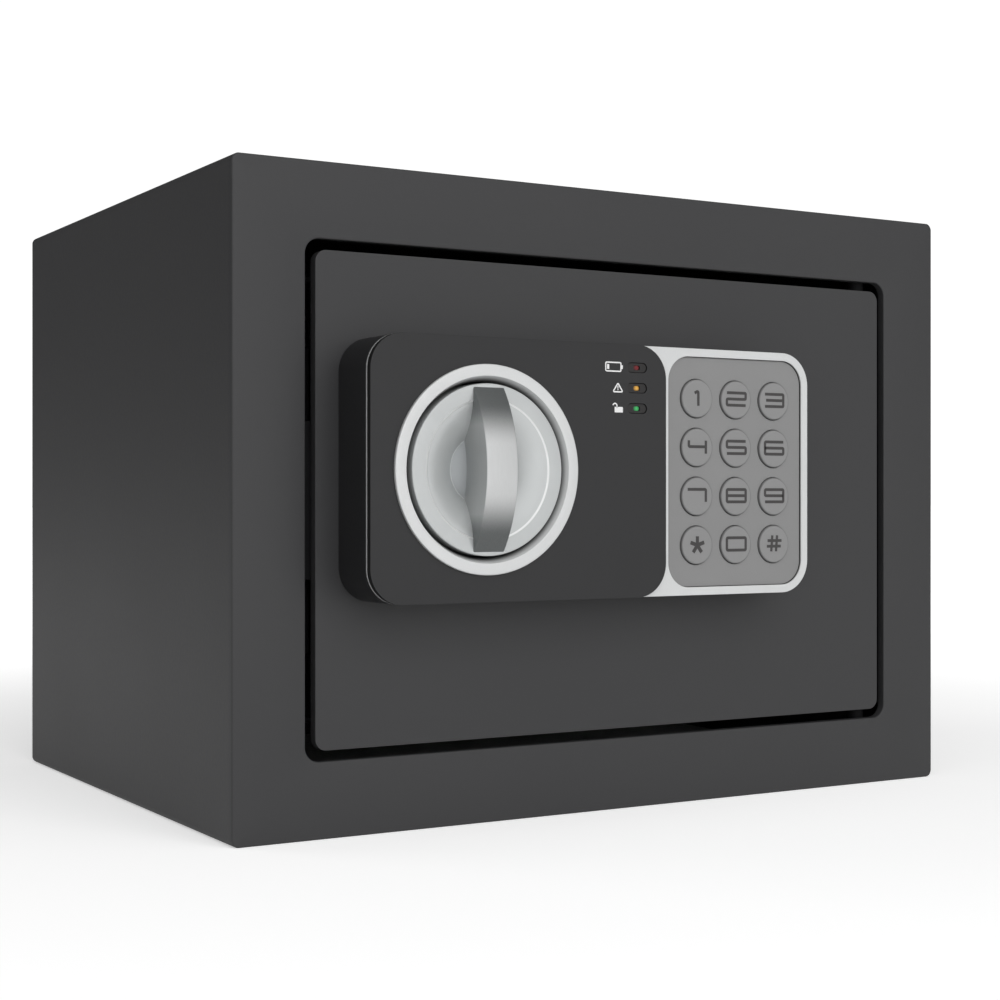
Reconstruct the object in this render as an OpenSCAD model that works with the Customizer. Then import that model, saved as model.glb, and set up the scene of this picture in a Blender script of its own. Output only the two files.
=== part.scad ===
// Small electronic safe: a welded steel box with an inset door on concealed pin hinges, a keypad
// lock panel on the door, and a knob that throws two round bolts behind the front frame.
// +X is to the right, +Y to the back, +Z up. The origin is the centre of the body's footprint.
// Distances called "reach" are measured forward of the body's front face, so they are negative inside.

/* [Body] */
// Width of the body
body_w = 230; // [225:1:290]
// Height of the body
body_h = 170; // [150:1:220]
// Depth of the body, without the lock panel
body_d = 170; // [140:1:260]
// Thickness of the body's sheet steel
wall = 1.2; // [0.8:0.1:1.8]
// Outer radius of the body's bent edges
bend_r = 2; // [1.9:0.1:4]
// Thickness of the front frame
frame_t = 2.5; // [1.5:0.1:3]
// Width of the front frame around the door opening
border = 19.5; // [17:0.5:22]
// Corner radius of the door opening
opening_r = 4; // [1:0.5:6]
// Radius of the anchor bolt holes in the floor and the back
anchor_r = 4.5; // [3:0.5:6]
// Distance between the two anchor holes
anchor_pitch = 110; // [80:5:150]
// Thickness of the felt mat on the floor
mat_t = 2; // [1:0.5:4]

/* [Door] */
// Gap between the door and its opening, all round
door_gap = 2.75; // [2.5:0.05:3.5]
// Thickness of the door plate
door_t = 3; // [2.5:0.1:3.6]
// Corner radius of the door plate
door_r = 3; // [1:0.5:5]
// Depth of the lock case on the back of the door
case_d = 26; // [26:1:34]
// Sheet thickness of the lock case and its cover
case_t = 1.2; // [0.8:0.1:1.5]
// Radius of the hinge pins
pin_r = 2.5; // [2:0.1:2.6]
// Running clearance round the hinge pins and the knob's spindle
run_gap = 0.05; // [0.02:0.01:0.1]

/* [Lock panel] */
// Width of the panel
panel_w = 138.5; // [136:0.5:150]
// Height of the panel
panel_h = 67; // [64:0.5:90]
// Corner radius of the panel
panel_r = 9; // [7:0.5:12]
// Distance from the door's left edge to the panel
panel_inset = 6.35; // [5:0.5:8]
// How far the panel's centre is above the door's centre
panel_rise = 7.7; // [0:0.1:9]
// Depth of the panel's base
base_t = 15; // [14:0.5:20]
// Thickness of the silver bezel
bezel_t = 1.1; // [0.8:0.1:2]
// Thickness of the black cover
cover_t = 1.9; // [1.5:0.1:3]
// Wall thickness of the panel's base
base_wall = 2.2; // [1.8:0.1:2.6]

/* [Keypad] */
// Width of the silver rim round the keypad
rim = 2.2; // [1.8:0.1:3]
// Width of the keypad
pad_w = 46; // [45:0.5:50]
// Radius of a key
key_r = 5.2; // [4:0.1:6.2]
// Distance between the centres of two keys
key_pitch = 13.3; // [13:0.1:14.5]
// How far a key travels
key_travel = 0.8; // [0.4:0.1:0.9]

/* [Knob] */
// Radius of the knob's dial
dial_r = 21.8; // [16:0.1:23]
// Width of the silver ring's flat face
ring_w = 3; // [2:0.1:3.6]
// Width of the knob's grip bar
grip_w = 9; // [6:0.5:12]
// How far the middle of the grip bar stands proud of the dial
grip_rise = 7; // [4:0.5:12]
// Distance from the panel's left edge to the knob's centre
knob_inset = 33; // [32:0.5:36]
// Radius of the knob's spindle
spindle_r = 4; // [3:0.1:4.2]

/* [Bolts] */
// Radius of a locking bolt
bolt_r = 8; // [6:0.1:8.2]
// How far the bolts travel
throw = 14; // [10:0.5:15]
// Radius of the crank's pin
crank_pin_r = 2.5; // [2:0.1:2.6]
// Thickness of the bolt carriage
carriage_t = 2; // [1.5:0.1:2.5]

/* [Hidden] */
$fn = 48;
// Clearance of a piece that slides, and of one that is pressed in
slide_gap = 0.3;
press_gap = 0.02;

// Body
front_y = -body_d / 2;
mid_z = body_h / 2;
opening_w = body_w - 2 * border;
opening_h = body_h - 2 * border;
inner_w = body_w - 2 * wall;
inner_h = body_h - 2 * wall;
mat_margin = 2;
anchor_y = 15;
anchor_z = mid_z;
mat_hole_r = anchor_r + 3;

// Door
door_w = opening_w - 2 * door_gap;
door_h = opening_h - 2 * door_gap;
door_left = -door_w / 2;
door_top = mid_z + door_h / 2;

// Hinge: vertical pins just behind the frame, close to the door's right edge
hinge_x = door_w / 2 - 4;
hinge_reach = -frame_t - pin_r - 0.5;
bracket_t = 4;
bracket_gap = 1.5;
bracket_z = mid_z + opening_h / 2 + bracket_gap;
lug_h = 15;
lug_half = pin_r + 0.8;
stop_t = 1.5;
stop_half_h = 20;

// Lock case on the back of the door
case_left = door_left + 4.25;
case_right = door_w / 2 - 13.75;
case_w = case_right - case_left;
case_x = (case_left + case_right) / 2;
case_h = door_h - 9.5;
case_r = 2;
case_back = -door_t - case_d;
cover_back = case_back - case_t;

// Lock panel
panel_left = door_left + panel_inset;
panel_right = panel_left + panel_w;
panel_x = (panel_left + panel_right) / 2;
panel_z = mid_z + panel_rise;
bezel_reach = base_t + bezel_t;
cover_reach = bezel_reach + cover_t;
base_floor = base_t - 2;
boss_r = 3.5;
boss_in = 5.5;
pilot_r = 1.25;
panel_head_t = 1.6;

// Keypad
pad_h = panel_h - 2 * rim;
pad_x = panel_right - rim - pad_w / 2;
pad_r = panel_r - rim;
pad_left = pad_x - pad_w / 2;
pad_reach = bezel_reach - 0.7;
pad_t = 4;
board_front = pad_reach - pad_t;
board_t = 1.6;
key_front = pad_reach + 0.7;
key_gap = 0.15;
key_names = ["1", "2", "3", "4", "5", "6", "7", "8", "9", "star", "0", "hash"];

// Black cover with its three indicator windows
cover_w = pad_left - rim - panel_left + 0.1;
window_w = 6.3;
window_h = 2.7;
window_x = pad_left - 11.5;
window_pitch = 5.4;
window_z = panel_z + 22;
window_depth = 0.7;
led_r = 1.05;

// Knob
knob_x = panel_left + knob_inset;
knob_z = panel_z;
dial_reach = cover_reach + 0.5;
dial_t = 8;
ring_reach = cover_reach + 1;
ring_in = dial_r + 1.85;
ring_out = ring_in + ring_w;
sleeve_in = dial_r + 0.6;
sleeve_out = ring_in + 1.35;
cup_out = sleeve_out + 2;
cup_floor = dial_reach - dial_t - 2.5;
dish_r = dial_r * 0.825;
hub_r = dial_r * 0.4;
dish_depth = 4.5;
hub_rise = 1.5;
dish_power = 1.8;
grip_half = dial_r - 1.05;
grip_arc_r = (grip_half * grip_half + grip_rise * grip_rise) / (2 * grip_rise);

// Bolt work. The crank pin's arc is symmetrical about the vertical, a quarter turn in all.
bolt_reach = -door_t - panel_head_t - slide_gap - bolt_r;
bolt_off = case_h / 2 - case_t - 1.3 - bolt_r;
bolt_len = 31;
crank_r = throw / (2 * sin(45));
crank_t = 3;
crank_reach = -door_t - 2.7;
pin_slot_gap = 0.4;
carriage_front = bolt_reach + carriage_t / 2;
carriage_back = bolt_reach - carriage_t / 2;
carriage_left = knob_x - 12.6;
carriage_right = knob_x + 15.4;
tail_right = knob_x + 43.4;
tail_low = knob_z - 4.7;
tail_top = knob_z + 5.3;
stud_x = knob_x - 6.6;
stud_r = 3;
stud_off = 28;
rivet_r = 1.5;
bolt_left = case_left - 0.5;
rivet_x = (carriage_left + bolt_left + bolt_len) / 2;

// Solenoid, whose plunger drops behind the carriage's tail when the bolts are out
plunger_x = knob_x + 34.4;
plunger_reach = -door_t - case_t - 8.3;
plunger_r = 3;
plunger_low = tail_top + slide_gap;
collar_z = tail_top + 2;
collar_t = 1.2;
collar_r = 5.5;
coil_r = 8;
solenoid_low = collar_z + 7.5;
solenoid_h = 25;
yoke_t = 1.2;
yoke_half_w = 10;

// Override key lock behind the black cover
lock_x = plunger_x;
lock_z = knob_z - 16.7;
barrel_r = 6;
plug_r = 4;
barrel_back = -door_t - 6;
cam_t = 2;
cam_front = plunger_reach - plunger_r - slide_gap;
cam_tip_r = 3;
cam_len = collar_z - slide_gap - cam_tip_r - lock_z;

// Battery tray in the case cover: four AA cells side by side
cell_r = 7.1;
cell_pitch = 14.5;
cell_len = 48.6;
tray_wall = 1.5;
tray_w = 4 * cell_pitch + 2 * tray_wall;
tray_h = 61.5;
tray_x = case_right - case_t - 2.3 - tray_w / 2;
tray_front = cover_back + 18.2;
cell_reach = cover_back + 8.7;
flange_w = 67;
flange_h = 68;
lid_half_w = 31.2;
lid_t = 1.8;
flange_back = cover_back - tray_wall;
lid_front = flange_back - 0.1;
lid_back = lid_front - lid_t;

// Reset button in the case cover
reset_x = tray_x - 42;
reset_z = mid_z + case_h / 2 - 18;
reset_r = 3;
switch_t = 7;

// Hole in the door plate for the leads
loom_x = pad_left + 1;
loom_z = panel_z + 11;
lead_r = 1.1;

// Posts that the case cover screws to
post_r = 3.5;
posts = [for (x = [knob_x + 23.4, case_right - 7]) for (s = [-1, 1]) [x, mid_z + s * (case_h / 2 - 6)]];
bosses = [for (x = [panel_left + boss_in, panel_right - boss_in]) for (s = [-1, 1])
    [x, panel_z + s * (panel_h / 2 - boss_in)]];

keys = [for (row = [0:3]) for (col = [0:2])
    [pad_x + (col - 1) * key_pitch, panel_z + (1.5 - row) * key_pitch]];

// Rectangle with round corners, centred
module round_rect(w, h, r) {
    square([w - 2 * r, h], center = true);
    square([w, h - 2 * r], center = true);
    for (x = [-1, 1], y = [-1, 1]) translate([x * (w / 2 - r), y * (h / 2 - r)]) circle(r);
}

// Drawing in X and Z, made solid between two reaches
module slab(back, front) {
    translate([0, front_y - back, 0]) rotate([90, 0, 0]) linear_extrude(front - back) children();
}

// Round bar along Y between two reaches
module bar_y(x, z, r, back, front) {
    translate([x, front_y - back, z]) rotate([90, 0, 0]) cylinder(h = front - back, r = r);
}

// Turned piece on an axis along Y: its profile is radius against reach
module turned(x, z) {
    translate([x, front_y, z]) rotate([90, 0, 0]) rotate_extrude() children();
}

// The piece, and its mirror image about the body's mid height
module above_and_below() {
    children();
    translate([0, 0, 2 * mid_z]) mirror([0, 0, 1]) children();
}

// Pan-head screw along Y: its head's seat is at this reach and its head is behind it
module pan_screw(x, z, seat, length, head_r, head_t, shank_r) {
    bar_y(x, z, head_r, seat - head_t, seat);
    bar_y(x, z, shank_r, seat, seat + length);
}

// Points of a smooth curve through corner points, each corner cut with a quadratic arc
function bend(p, i, t) = (1 - t) * (1 - t) * (p[i - 1] + p[i]) / 2
    + 2 * t * (1 - t) * p[i] + t * t * (p[i] + p[i + 1]) / 2;
function smooth(p, steps) = concat([p[0]],
    [for (i = [1:len(p) - 2]) for (k = [0:steps]) if (k > 0 || i == 1) bend(p, i, k / steps)],
    [p[len(p) - 1]]);
function unit(v) = v / norm(v);
function tangent(p, i) = unit(p[min(i + 1, len(p) - 1)] - p[max(i - 1, 0)]);

// Round tube along a list of points. Its rings are turned about a fixed side direction.
module tube(path, r, side, sides = 8) {
    n = len(path);
    rings = [for (i = [0:n - 1])
        let (u = unit(cross(tangent(path, i), side)), v = cross(tangent(path, i), u))
        for (k = [0:sides - 1]) path[i] + r * (cos(360 * k / sides) * u + sin(360 * k / sides) * v)];
    walls = [for (i = [0:n - 2]) for (k = [0:sides - 1])
        [i * sides + k, i * sides + (k + 1) % sides, (i + 1) * sides + (k + 1) % sides, (i + 1) * sides + k]];
    ends = [[for (k = [sides - 1:-1:0]) k], [for (k = [0:sides - 1]) (n - 1) * sides + k]];
    polyhedron(points = rings, faces = [for (f = concat(walls, ends)) [for (k = [len(f) - 1:-1:0]) f[k]]]);
}

// Coil spring standing on z = 0 about the Z axis
module spring(coil_r, wire_r, length, turns, per_turn = 14) {
    steps = turns * per_turn;
    path = [for (i = [0:steps]) [coil_r * cos(360 * i / per_turn), coil_r * sin(360 * i / per_turn),
        wire_r + (length - 2 * wire_r) * i / steps]];
    tube(path, wire_r, [0, 0, 1], 8);
}

// Body

module body_shell() color("dimgray") difference() {
    slab(-body_d, -frame_t) translate([0, mid_z]) difference() {
        round_rect(body_w, body_h, bend_r);
        round_rect(inner_w, inner_h, bend_r - wall);
    }
    for (s = [-1, 1]) translate([s * anchor_pitch / 2, anchor_y, -1]) cylinder(h = wall + 2, r = anchor_r);
}

module front_frame() color("dimgray") slab(-frame_t, 0) translate([0, mid_z]) difference() {
    round_rect(body_w, body_h, bend_r);
    round_rect(opening_w, opening_h, opening_r);
}

module back_panel() color("dimgray") slab(-body_d, wall - body_d) difference() {
    translate([0, mid_z]) round_rect(inner_w, inner_h, bend_r - wall);
    for (s = [-1, 1]) translate([s * anchor_pitch / 2, anchor_z]) circle(anchor_r);
}

module floor_mat() color("black") {
    mat_w = inner_w - 2 * mat_margin;
    mat_d = body_d - frame_t - wall - 2 * mat_margin;
    mat_y = (frame_t - wall) / 2;
    translate([0, mat_y, wall]) difference() {
        linear_extrude(mat_t) round_rect(mat_w, mat_d, 3);
        for (s = [-1, 1]) translate([s * anchor_pitch / 2, anchor_y - mat_y, -1])
            cylinder(h = mat_t + 2, r = mat_hole_r);
    }
}

// Hinge and stop

module hinge_brackets() color("dimgray") above_and_below() difference() {
    slab(hinge_reach - 7, -frame_t) translate([hinge_x - 9, bracket_z]) square([18, bracket_t]);
    translate([hinge_x, front_y - hinge_reach, bracket_z - 1])
        cylinder(h = bracket_t + 2, r = pin_r + run_gap);
}

module hinge_lugs() color("dimgray") above_and_below() difference() {
    slab(hinge_reach - lug_half, -door_t) translate([hinge_x - 5, door_top - 1 - lug_h])
        square([5 + lug_half, lug_h]);
    translate([hinge_x, front_y - hinge_reach, door_top - lug_h])
        cylinder(h = lug_h + 2, r = pin_r + press_gap);
}

module hinge_pins() color("silver") above_and_below()
    translate([hinge_x, front_y - hinge_reach, door_top - lug_h])
        cylinder(h = bracket_z + bracket_t + 0.5 - (door_top - lug_h), r = pin_r);

// L-shaped strip on the frame's back, which the closed door rests against
module door_stop() color("dimgray") {
    lip_front = -door_t - slide_gap;
    foot_left = -opening_w / 2 - 5;
    slab(lip_front - stop_t, lip_front) translate([foot_left, mid_z - stop_half_h])
        square([door_left + 2.2 - foot_left, 2 * stop_half_h]);
    slab(lip_front - stop_t, -frame_t) translate([foot_left, mid_z - stop_half_h])
        square([4.5, 2 * stop_half_h]);
}

// Door

module door_plate() color("dimgray") slab(-door_t, 0) difference() {
    translate([0, mid_z]) round_rect(door_w, door_h, door_r);
    translate([knob_x, knob_z]) circle(spindle_r + 2 + press_gap);
    translate([lock_x, lock_z]) circle(barrel_r + 0.1);
    translate([loom_x, loom_z]) circle(4);
    for (b = bosses) translate(b) circle(1.7);
}

module lock_case() color("dimgray") difference() {
    slab(case_back, -door_t) translate([case_x, mid_z]) difference() {
        round_rect(case_w, case_h, case_r);
        round_rect(case_w - 2 * case_t, case_h - 2 * case_t, case_r - case_t);
    }
    above_and_below() translate([case_left - 1, front_y - bolt_reach, mid_z + bolt_off])
        rotate([0, 90, 0]) cylinder(h = case_t + 2, r = bolt_r + slide_gap);
}

module case_cover() color("dimgray") slab(cover_back, case_back) difference() {
    translate([case_x, mid_z]) round_rect(case_w, case_h, case_r);
    translate([tray_x, mid_z]) square([tray_w + 0.4, tray_h + 0.4], center = true);
    translate([reset_x, reset_z]) circle(reset_r + 0.2);
    for (p = posts) translate(p) circle(1.6);
}

module case_posts() color("silver") for (p = posts) difference() {
    slab(case_back, -door_t) translate(p) circle(post_r, $fn = 6);
    bar_y(p.x, p.y, pilot_r + press_gap, case_back - 1, case_back + 9);
}

module case_screws() color("silver") for (p = posts)
    pan_screw(p.x, p.y, cover_back, case_t + 8, 2.8, 1.3, pilot_r);

// Lock panel

module panel_outline(w = panel_w) translate([panel_left + w / 2, panel_z]) round_rect(w, panel_h, panel_r);

module pad_outline(gap = 0) translate([pad_x, panel_z])
    round_rect(pad_w - 2 * gap, pad_h - 2 * gap, pad_r - gap);

module window_centres() for (k = [0:2]) translate([window_x, window_z + (1 - k) * window_pitch]) children();

module panel_openings(with_lock = true) {
    translate([knob_x, knob_z]) circle(sleeve_out + 0.2);
    window_centres() circle(led_r + 0.2);
    if (with_lock) translate([lock_x, lock_z]) circle(barrel_r + 0.3);
}

module panel_base() color("black") difference() {
    union() {
        difference() {
            slab(0, base_t) panel_outline();
            slab(-1, base_floor) translate([panel_x, panel_z])
                round_rect(panel_w - 2 * base_wall, panel_h - 2 * base_wall, panel_r - base_wall);
            slab(base_floor - 1, base_t + 1) {
                panel_openings();
                pad_outline();
            }
        }
        turned(knob_x, knob_z) polygon([[spindle_r + 0.5, cup_floor - 2], [cup_out, cup_floor - 2],
            [cup_out, base_t - 1], [sleeve_out + 0.2, base_t - 1], [sleeve_out + 0.2, cup_floor],
            [spindle_r + 0.5, cup_floor]]);
        for (b = bosses) bar_y(b.x, b.y, boss_r, 0, b.x < pad_left ? base_floor + 1 : board_front - board_t);
    }
    for (b = bosses) bar_y(b.x, b.y, pilot_r + press_gap, -1, 8);
}

module panel_screws() color("silver") for (b = bosses)
    pan_screw(b.x, b.y, -door_t, door_t + 7, 2.5, panel_head_t, pilot_r);

module silver_bezel() color("gainsboro") slab(base_t, bezel_reach) difference() {
    panel_outline();
    panel_openings();
    pad_outline();
}

module black_cover() color("black") difference() {
    slab(bezel_reach, cover_reach) difference() {
        panel_outline(cover_w);
        panel_openings(with_lock = false);
    }
    slab(cover_reach - window_depth, cover_reach + 1) window_centres()
        round_rect(window_w, window_h, window_h / 2 - 0.01);
}

// The cone inside the ring's flat face lets light fall on the dial's edge
module knob_ring() color("gainsboro") turned(knob_x, knob_z) polygon([
    [sleeve_in, cup_floor + 0.2], [sleeve_out, cup_floor + 0.2], [sleeve_out, cover_reach],
    [ring_out, cover_reach], [ring_out, ring_reach - 0.3], [ring_out - 0.3, ring_reach],
    [ring_in, ring_reach], [sleeve_in, ring_reach - 3]]);

module keypad_mat() color("gray") difference() {
    slab(board_front, pad_reach) pad_outline(0.1);
    for (k = keys) bar_y(k.x, k.y, key_r + key_gap, board_front - 1, pad_reach + 1);
}

module key(i) color("gray") turned(keys[i].x, keys[i].y) {
    stem_back = board_front + key_travel + 0.1;
    polygon([[0, stem_back], [3, stem_back], [3, stem_back + 1], [key_r, stem_back + 1],
        [key_r, key_front - 0.3], [key_r - 0.3, key_front], [0, key_front]]);
}

module circuit_board() color("darkgreen") difference() {
    board_left = window_x - 7;
    board_right = panel_right - base_wall - slide_gap;
    union() {
        slab(board_front - board_t, board_front) difference() {
            translate([(board_left + board_right) / 2, panel_z])
                round_rect(board_right - board_left, panel_h - 2 * base_wall - 2 * slide_gap, pad_r - 0.4);
            translate([lock_x, lock_z]) circle(barrel_r + 3);
            translate([loom_x, loom_z]) circle(1);
        }
        chip = board_front - board_t - 1.8;
        slab(chip, board_front - board_t) translate([pad_x - 6, panel_z - 8]) square([12, 16]);
        slab(chip, board_front - board_t) translate([pad_x - 16, panel_z - 22]) square([14, 6]);
        bar_y(pad_x + 12, panel_z - 18, 6, board_front - board_t - 4.5, board_front - board_t);
    }
    for (b = bosses) if (b.x > pad_left) bar_y(b.x, b.y, 1, board_front - board_t - 1, board_front + 1);
}

module led(k) {
    z = window_z + (1 - k) * window_pitch;
    tip = cover_reach - 0.3 - led_r;
    bar_y(window_x, z, led_r, board_front, tip);
    translate([window_x, front_y - tip, z]) sphere(led_r);
}

// Knob

// Depth of the dial's face below its rim at radius r: a bowl that steepens towards a domed hub
function dish(r) = r < hub_r
    ? dish_depth - hub_rise * (1 - pow(r / hub_r, 2))
    : 0.3 + (dish_depth - 0.3) * pow((dish_r - 0.3 - r) / (dish_r - 0.3 - hub_r), dish_power);

module knob_dial() color("silver") difference() {
    turned(knob_x, knob_z) polygon(concat(
        [[0, dial_reach - dial_t], [dial_r, dial_reach - dial_t], [dial_r, dial_reach - 0.3],
         [dial_r - 0.3, dial_reach], [dish_r, dial_reach]],
        [for (k = [8:-1:0]) let (r = hub_r + (dish_r - 0.3 - hub_r) * k / 8) [r, dial_reach - dish(r)]],
        [for (k = [4:-1:0]) let (r = hub_r * 0.98 * k / 4) [r, dial_reach - dish(r)]]));
    slab(dial_reach - dial_t + 2, dial_reach + 1) translate([knob_x, knob_z])
        square([grip_w + 2 * press_gap, 2 * (grip_half + press_gap)], center = true);
    bar_y(knob_x, knob_z, spindle_r + press_gap, dial_reach - dial_t - 1, dial_reach - dial_t + 2 - 0.5);
}

// Bar across the dial with an arched front
module knob_grip() color("silver") translate([knob_x - grip_w / 2, front_y, knob_z]) rotate([90, 0, 90])
    linear_extrude(grip_w) union() {
        translate([-dial_reach, -grip_half]) square([dial_t - 2, 2 * grip_half]);
        intersection() {
            translate([grip_arc_r - dial_reach - grip_rise, 0]) circle(grip_arc_r);
            translate([-dial_reach - grip_rise - 1, -grip_half]) square([grip_rise + 2, 2 * grip_half]);
        }
    }

module knob_spindle() color("silver") difference() {
    bar_y(knob_x, knob_z, spindle_r, crank_reach - crank_t, dial_reach - dial_t + 1.5);
    bar_y(knob_x, knob_z, 1.6, crank_reach - crank_t - 1, crank_reach + 5);
}

module spindle_bush() color("goldenrod") turned(knob_x, knob_z) polygon([
    [spindle_r + run_gap, -door_t - 2], [spindle_r + 2, -door_t - 2], [spindle_r + 2, 0],
    [spindle_r + 4, 0], [spindle_r + 4, 1.5], [spindle_r + run_gap, 1.5]]);

module crank() color("silver") {
    dx = crank_r * sin(45);
    slab(crank_reach - crank_t, crank_reach) difference() {
        union() {
            translate([knob_x, knob_z]) circle(spindle_r + 3);
            translate([knob_x, knob_z]) rotate(45) translate([0, -4]) square([crank_r, 8]);
            translate([knob_x + dx, knob_z + dx]) circle(4.2);
        }
        translate([knob_x, knob_z]) circle(spindle_r + press_gap);
    }
    bar_y(knob_x + dx, knob_z + dx, crank_pin_r, carriage_back - 1.5, crank_reach - crank_t + 0.5);
}

module crank_screw() color("silver")
    pan_screw(knob_x, knob_z, crank_reach - crank_t, 6, spindle_r - 0.3, 1.5, 1.55);

// Bolt work

module bolt_carriage() color("silver") difference() {
    slab(carriage_back, carriage_front) difference() {
        union() {
            translate([carriage_left, mid_z - bolt_off - 5])
                square([carriage_right - carriage_left, 2 * bolt_off + 10]);
            translate([carriage_right - 1, tail_low])
                square([tail_right - carriage_right + 1, tail_top - tail_low]);
        }
        half_slot = crank_pin_r + pin_slot_gap;
        translate([knob_x + crank_r * sin(45) - half_slot, knob_z + crank_r * cos(45) - half_slot])
            square([2 * half_slot, crank_r * (1 - cos(45)) + 2 * half_slot]);
        for (s = [-1, 1]) translate([stud_x, mid_z + s * stud_off]) {
            translate([throw / 2, 0]) square([throw, 2 * (stud_r + slide_gap)], center = true);
            for (x = [0, throw]) translate([x, 0]) circle(stud_r + slide_gap);
        }
    }
    above_and_below()
        bar_y(rivet_x, mid_z + bolt_off, rivet_r + press_gap, carriage_back - 1, carriage_front + 1);
}

module locking_bolts() color("silver") above_and_below() difference() {
    translate([bolt_left, front_y - bolt_reach, mid_z + bolt_off]) rotate([0, 90, 0])
        cylinder(h = bolt_len, r = bolt_r);
    slab(carriage_back - press_gap, carriage_front + press_gap)
        translate([carriage_left - press_gap, mid_z + bolt_off - bolt_r - 1])
            square([bolt_len, 2 * bolt_r + 2]);
    bar_y(rivet_x, mid_z + bolt_off, rivet_r + press_gap, bolt_reach - bolt_r - 1, bolt_reach + bolt_r + 1);
}

module bolt_rivets() color("gray") above_and_below()
    bar_y(rivet_x, mid_z + bolt_off, rivet_r, bolt_reach - bolt_r, bolt_reach + bolt_r);

// Headed studs that the carriage's slots run on
module guide_studs() color("silver") for (s = [-1, 1]) turned(stud_x, mid_z + s * stud_off) polygon([
    [0, -door_t], [5, -door_t], [5, carriage_front + slide_gap], [stud_r, carriage_front + slide_gap],
    [stud_r, carriage_back - slide_gap], [5, carriage_back - slide_gap], [5, carriage_back - slide_gap - 1.5],
    [0, carriage_back - slide_gap - 1.5]]);

// Solenoid

module solenoid_yoke() color("silver") difference() {
    union() {
        slab(-door_t - yoke_t, -door_t) translate([plunger_x - yoke_half_w, solenoid_low])
            square([2 * yoke_half_w, solenoid_h]);
        for (z = [solenoid_low, solenoid_low + solenoid_h - yoke_t])
            slab(plunger_reach - coil_r, -door_t) translate([plunger_x - yoke_half_w, z])
                square([2 * yoke_half_w, yoke_t]);
    }
    translate([plunger_x, front_y - plunger_reach, solenoid_low - 1])
        cylinder(h = yoke_t + 2, r = plunger_r + slide_gap);
}

module solenoid_coil() color("firebrick")
    translate([plunger_x, front_y - plunger_reach, solenoid_low + yoke_t]) difference() {
        cylinder(h = solenoid_h - 2 * yoke_t, r = coil_r);
        translate([0, 0, -1]) cylinder(h = solenoid_h, r = plunger_r + slide_gap);
        translate([0, 0, 2]) rotate_extrude() translate([coil_r - 0.8, 0])
            square([2, solenoid_h - 2 * yoke_t - 4]);
    }

module solenoid_plunger() color("silver") translate([plunger_x, front_y - plunger_reach, 0]) {
    translate([0, 0, plunger_low]) cylinder(h = solenoid_low + 14 - plunger_low, r = plunger_r);
    translate([0, 0, collar_z]) cylinder(h = collar_t, r = collar_r);
}

module plunger_spring() color("gray") translate([plunger_x, front_y - plunger_reach, collar_z + collar_t])
    spring(4.2, 0.35, solenoid_low - collar_z - collar_t, 3);

// Override lock

module override_barrel() color("silver") turned(lock_x, lock_z) polygon([
    [plug_r + run_gap, barrel_back], [barrel_r, barrel_back], [barrel_r, base_floor - 1.7],
    [barrel_r + 2, base_floor - 1.7], [barrel_r + 2, base_floor - 0.1], [barrel_r, base_floor - 0.1],
    [barrel_r, base_t - 0.2], [plug_r + run_gap, base_t - 0.2]]);

module override_plug() color("goldenrod") difference() {
    union() {
        bar_y(lock_x, lock_z, plug_r, cam_front, base_t - 0.5);
        bar_y(lock_x, lock_z, 2.5, cam_front - cam_t - 0.6, cam_front);
    }
    slab(5, base_t) translate([lock_x, lock_z]) square([1.2, 6], center = true);
}

// At rest the cam points to the right. A quarter turn brings its tip up under the plunger's collar.
module override_cam() color("silver") slab(cam_front - cam_t, cam_front) translate([lock_x, lock_z])
    difference() {
        union() {
            circle(5);
            translate([0, -cam_tip_r]) square([cam_len, 2 * cam_tip_r]);
            translate([cam_len, 0]) circle(cam_tip_r);
        }
        circle(2.5 + press_gap);
    }

// Battery tray

module battery_tray() color("black") difference() {
    rail_in = lid_half_w + slide_gap;
    lip_front = lid_back - 0.1;
    union() {
        slab(flange_back, tray_front) translate([tray_x, mid_z]) square([tray_w, tray_h], center = true);
        slab(flange_back, cover_back) translate([tray_x, mid_z]) square([flange_w, flange_h], center = true);
        for (s = [-1, 1]) {
            slab(lip_front, flange_back) translate([tray_x + s * (rail_in + flange_w / 2) / 2, mid_z])
                square([flange_w / 2 - rail_in, flange_h], center = true);
            slab(lip_front - 1, lip_front) translate([tray_x + s * (rail_in - 1.5 + flange_w / 2) / 2, mid_z])
                square([flange_w / 2 - rail_in + 1.5, flange_h], center = true);
        }
        slab(lip_front, flange_back) translate([tray_x, mid_z - flange_h / 2 + 0.75])
            square([flange_w, tray_wall], center = true);
    }
    slab(flange_back - 1, tray_front - tray_wall) translate([tray_x, mid_z])
        square([tray_w - 2 * tray_wall, tray_h - 2 * tray_wall], center = true);
}

// AA cells, turned end for end in turn
module battery_cells() color("goldenrod") for (i = [0:3]) {
    up = i % 2 == 0 ? 1 : -1;
    translate([tray_x + (i - 1.5) * cell_pitch, front_y - cell_reach, mid_z]) {
        translate([0, 0, -cell_len / 2]) cylinder(h = cell_len, r = cell_r);
        translate([0, 0, up > 0 ? cell_len / 2 : -cell_len / 2 - 1.5]) cylinder(h = 1.5, r = 2.7);
    }
}

module battery_contacts() color("silver") for (i = [0:3]) {
    up = i % 2 == 0 ? 1 : -1;
    end = tray_h / 2 - tray_wall;
    plate = 0.5;
    translate([tray_x + (i - 1.5) * cell_pitch, front_y - cell_reach, mid_z]) {
        for (s = [-1, 1]) translate([-5, -5, s > 0 ? end - plate : -end]) cube([10, 10, plate]);
        mirror([0, 0, up > 0 ? 0 : 1]) {
            translate([0, 0, -end + plate]) spring(3.2, 0.35, end - plate - cell_len / 2, 2, 12);
            translate([0, 0, cell_len / 2 + 1.5]) cylinder(h = end - plate - cell_len / 2 - 1.5, r = 1.5);
        }
    }
}

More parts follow.
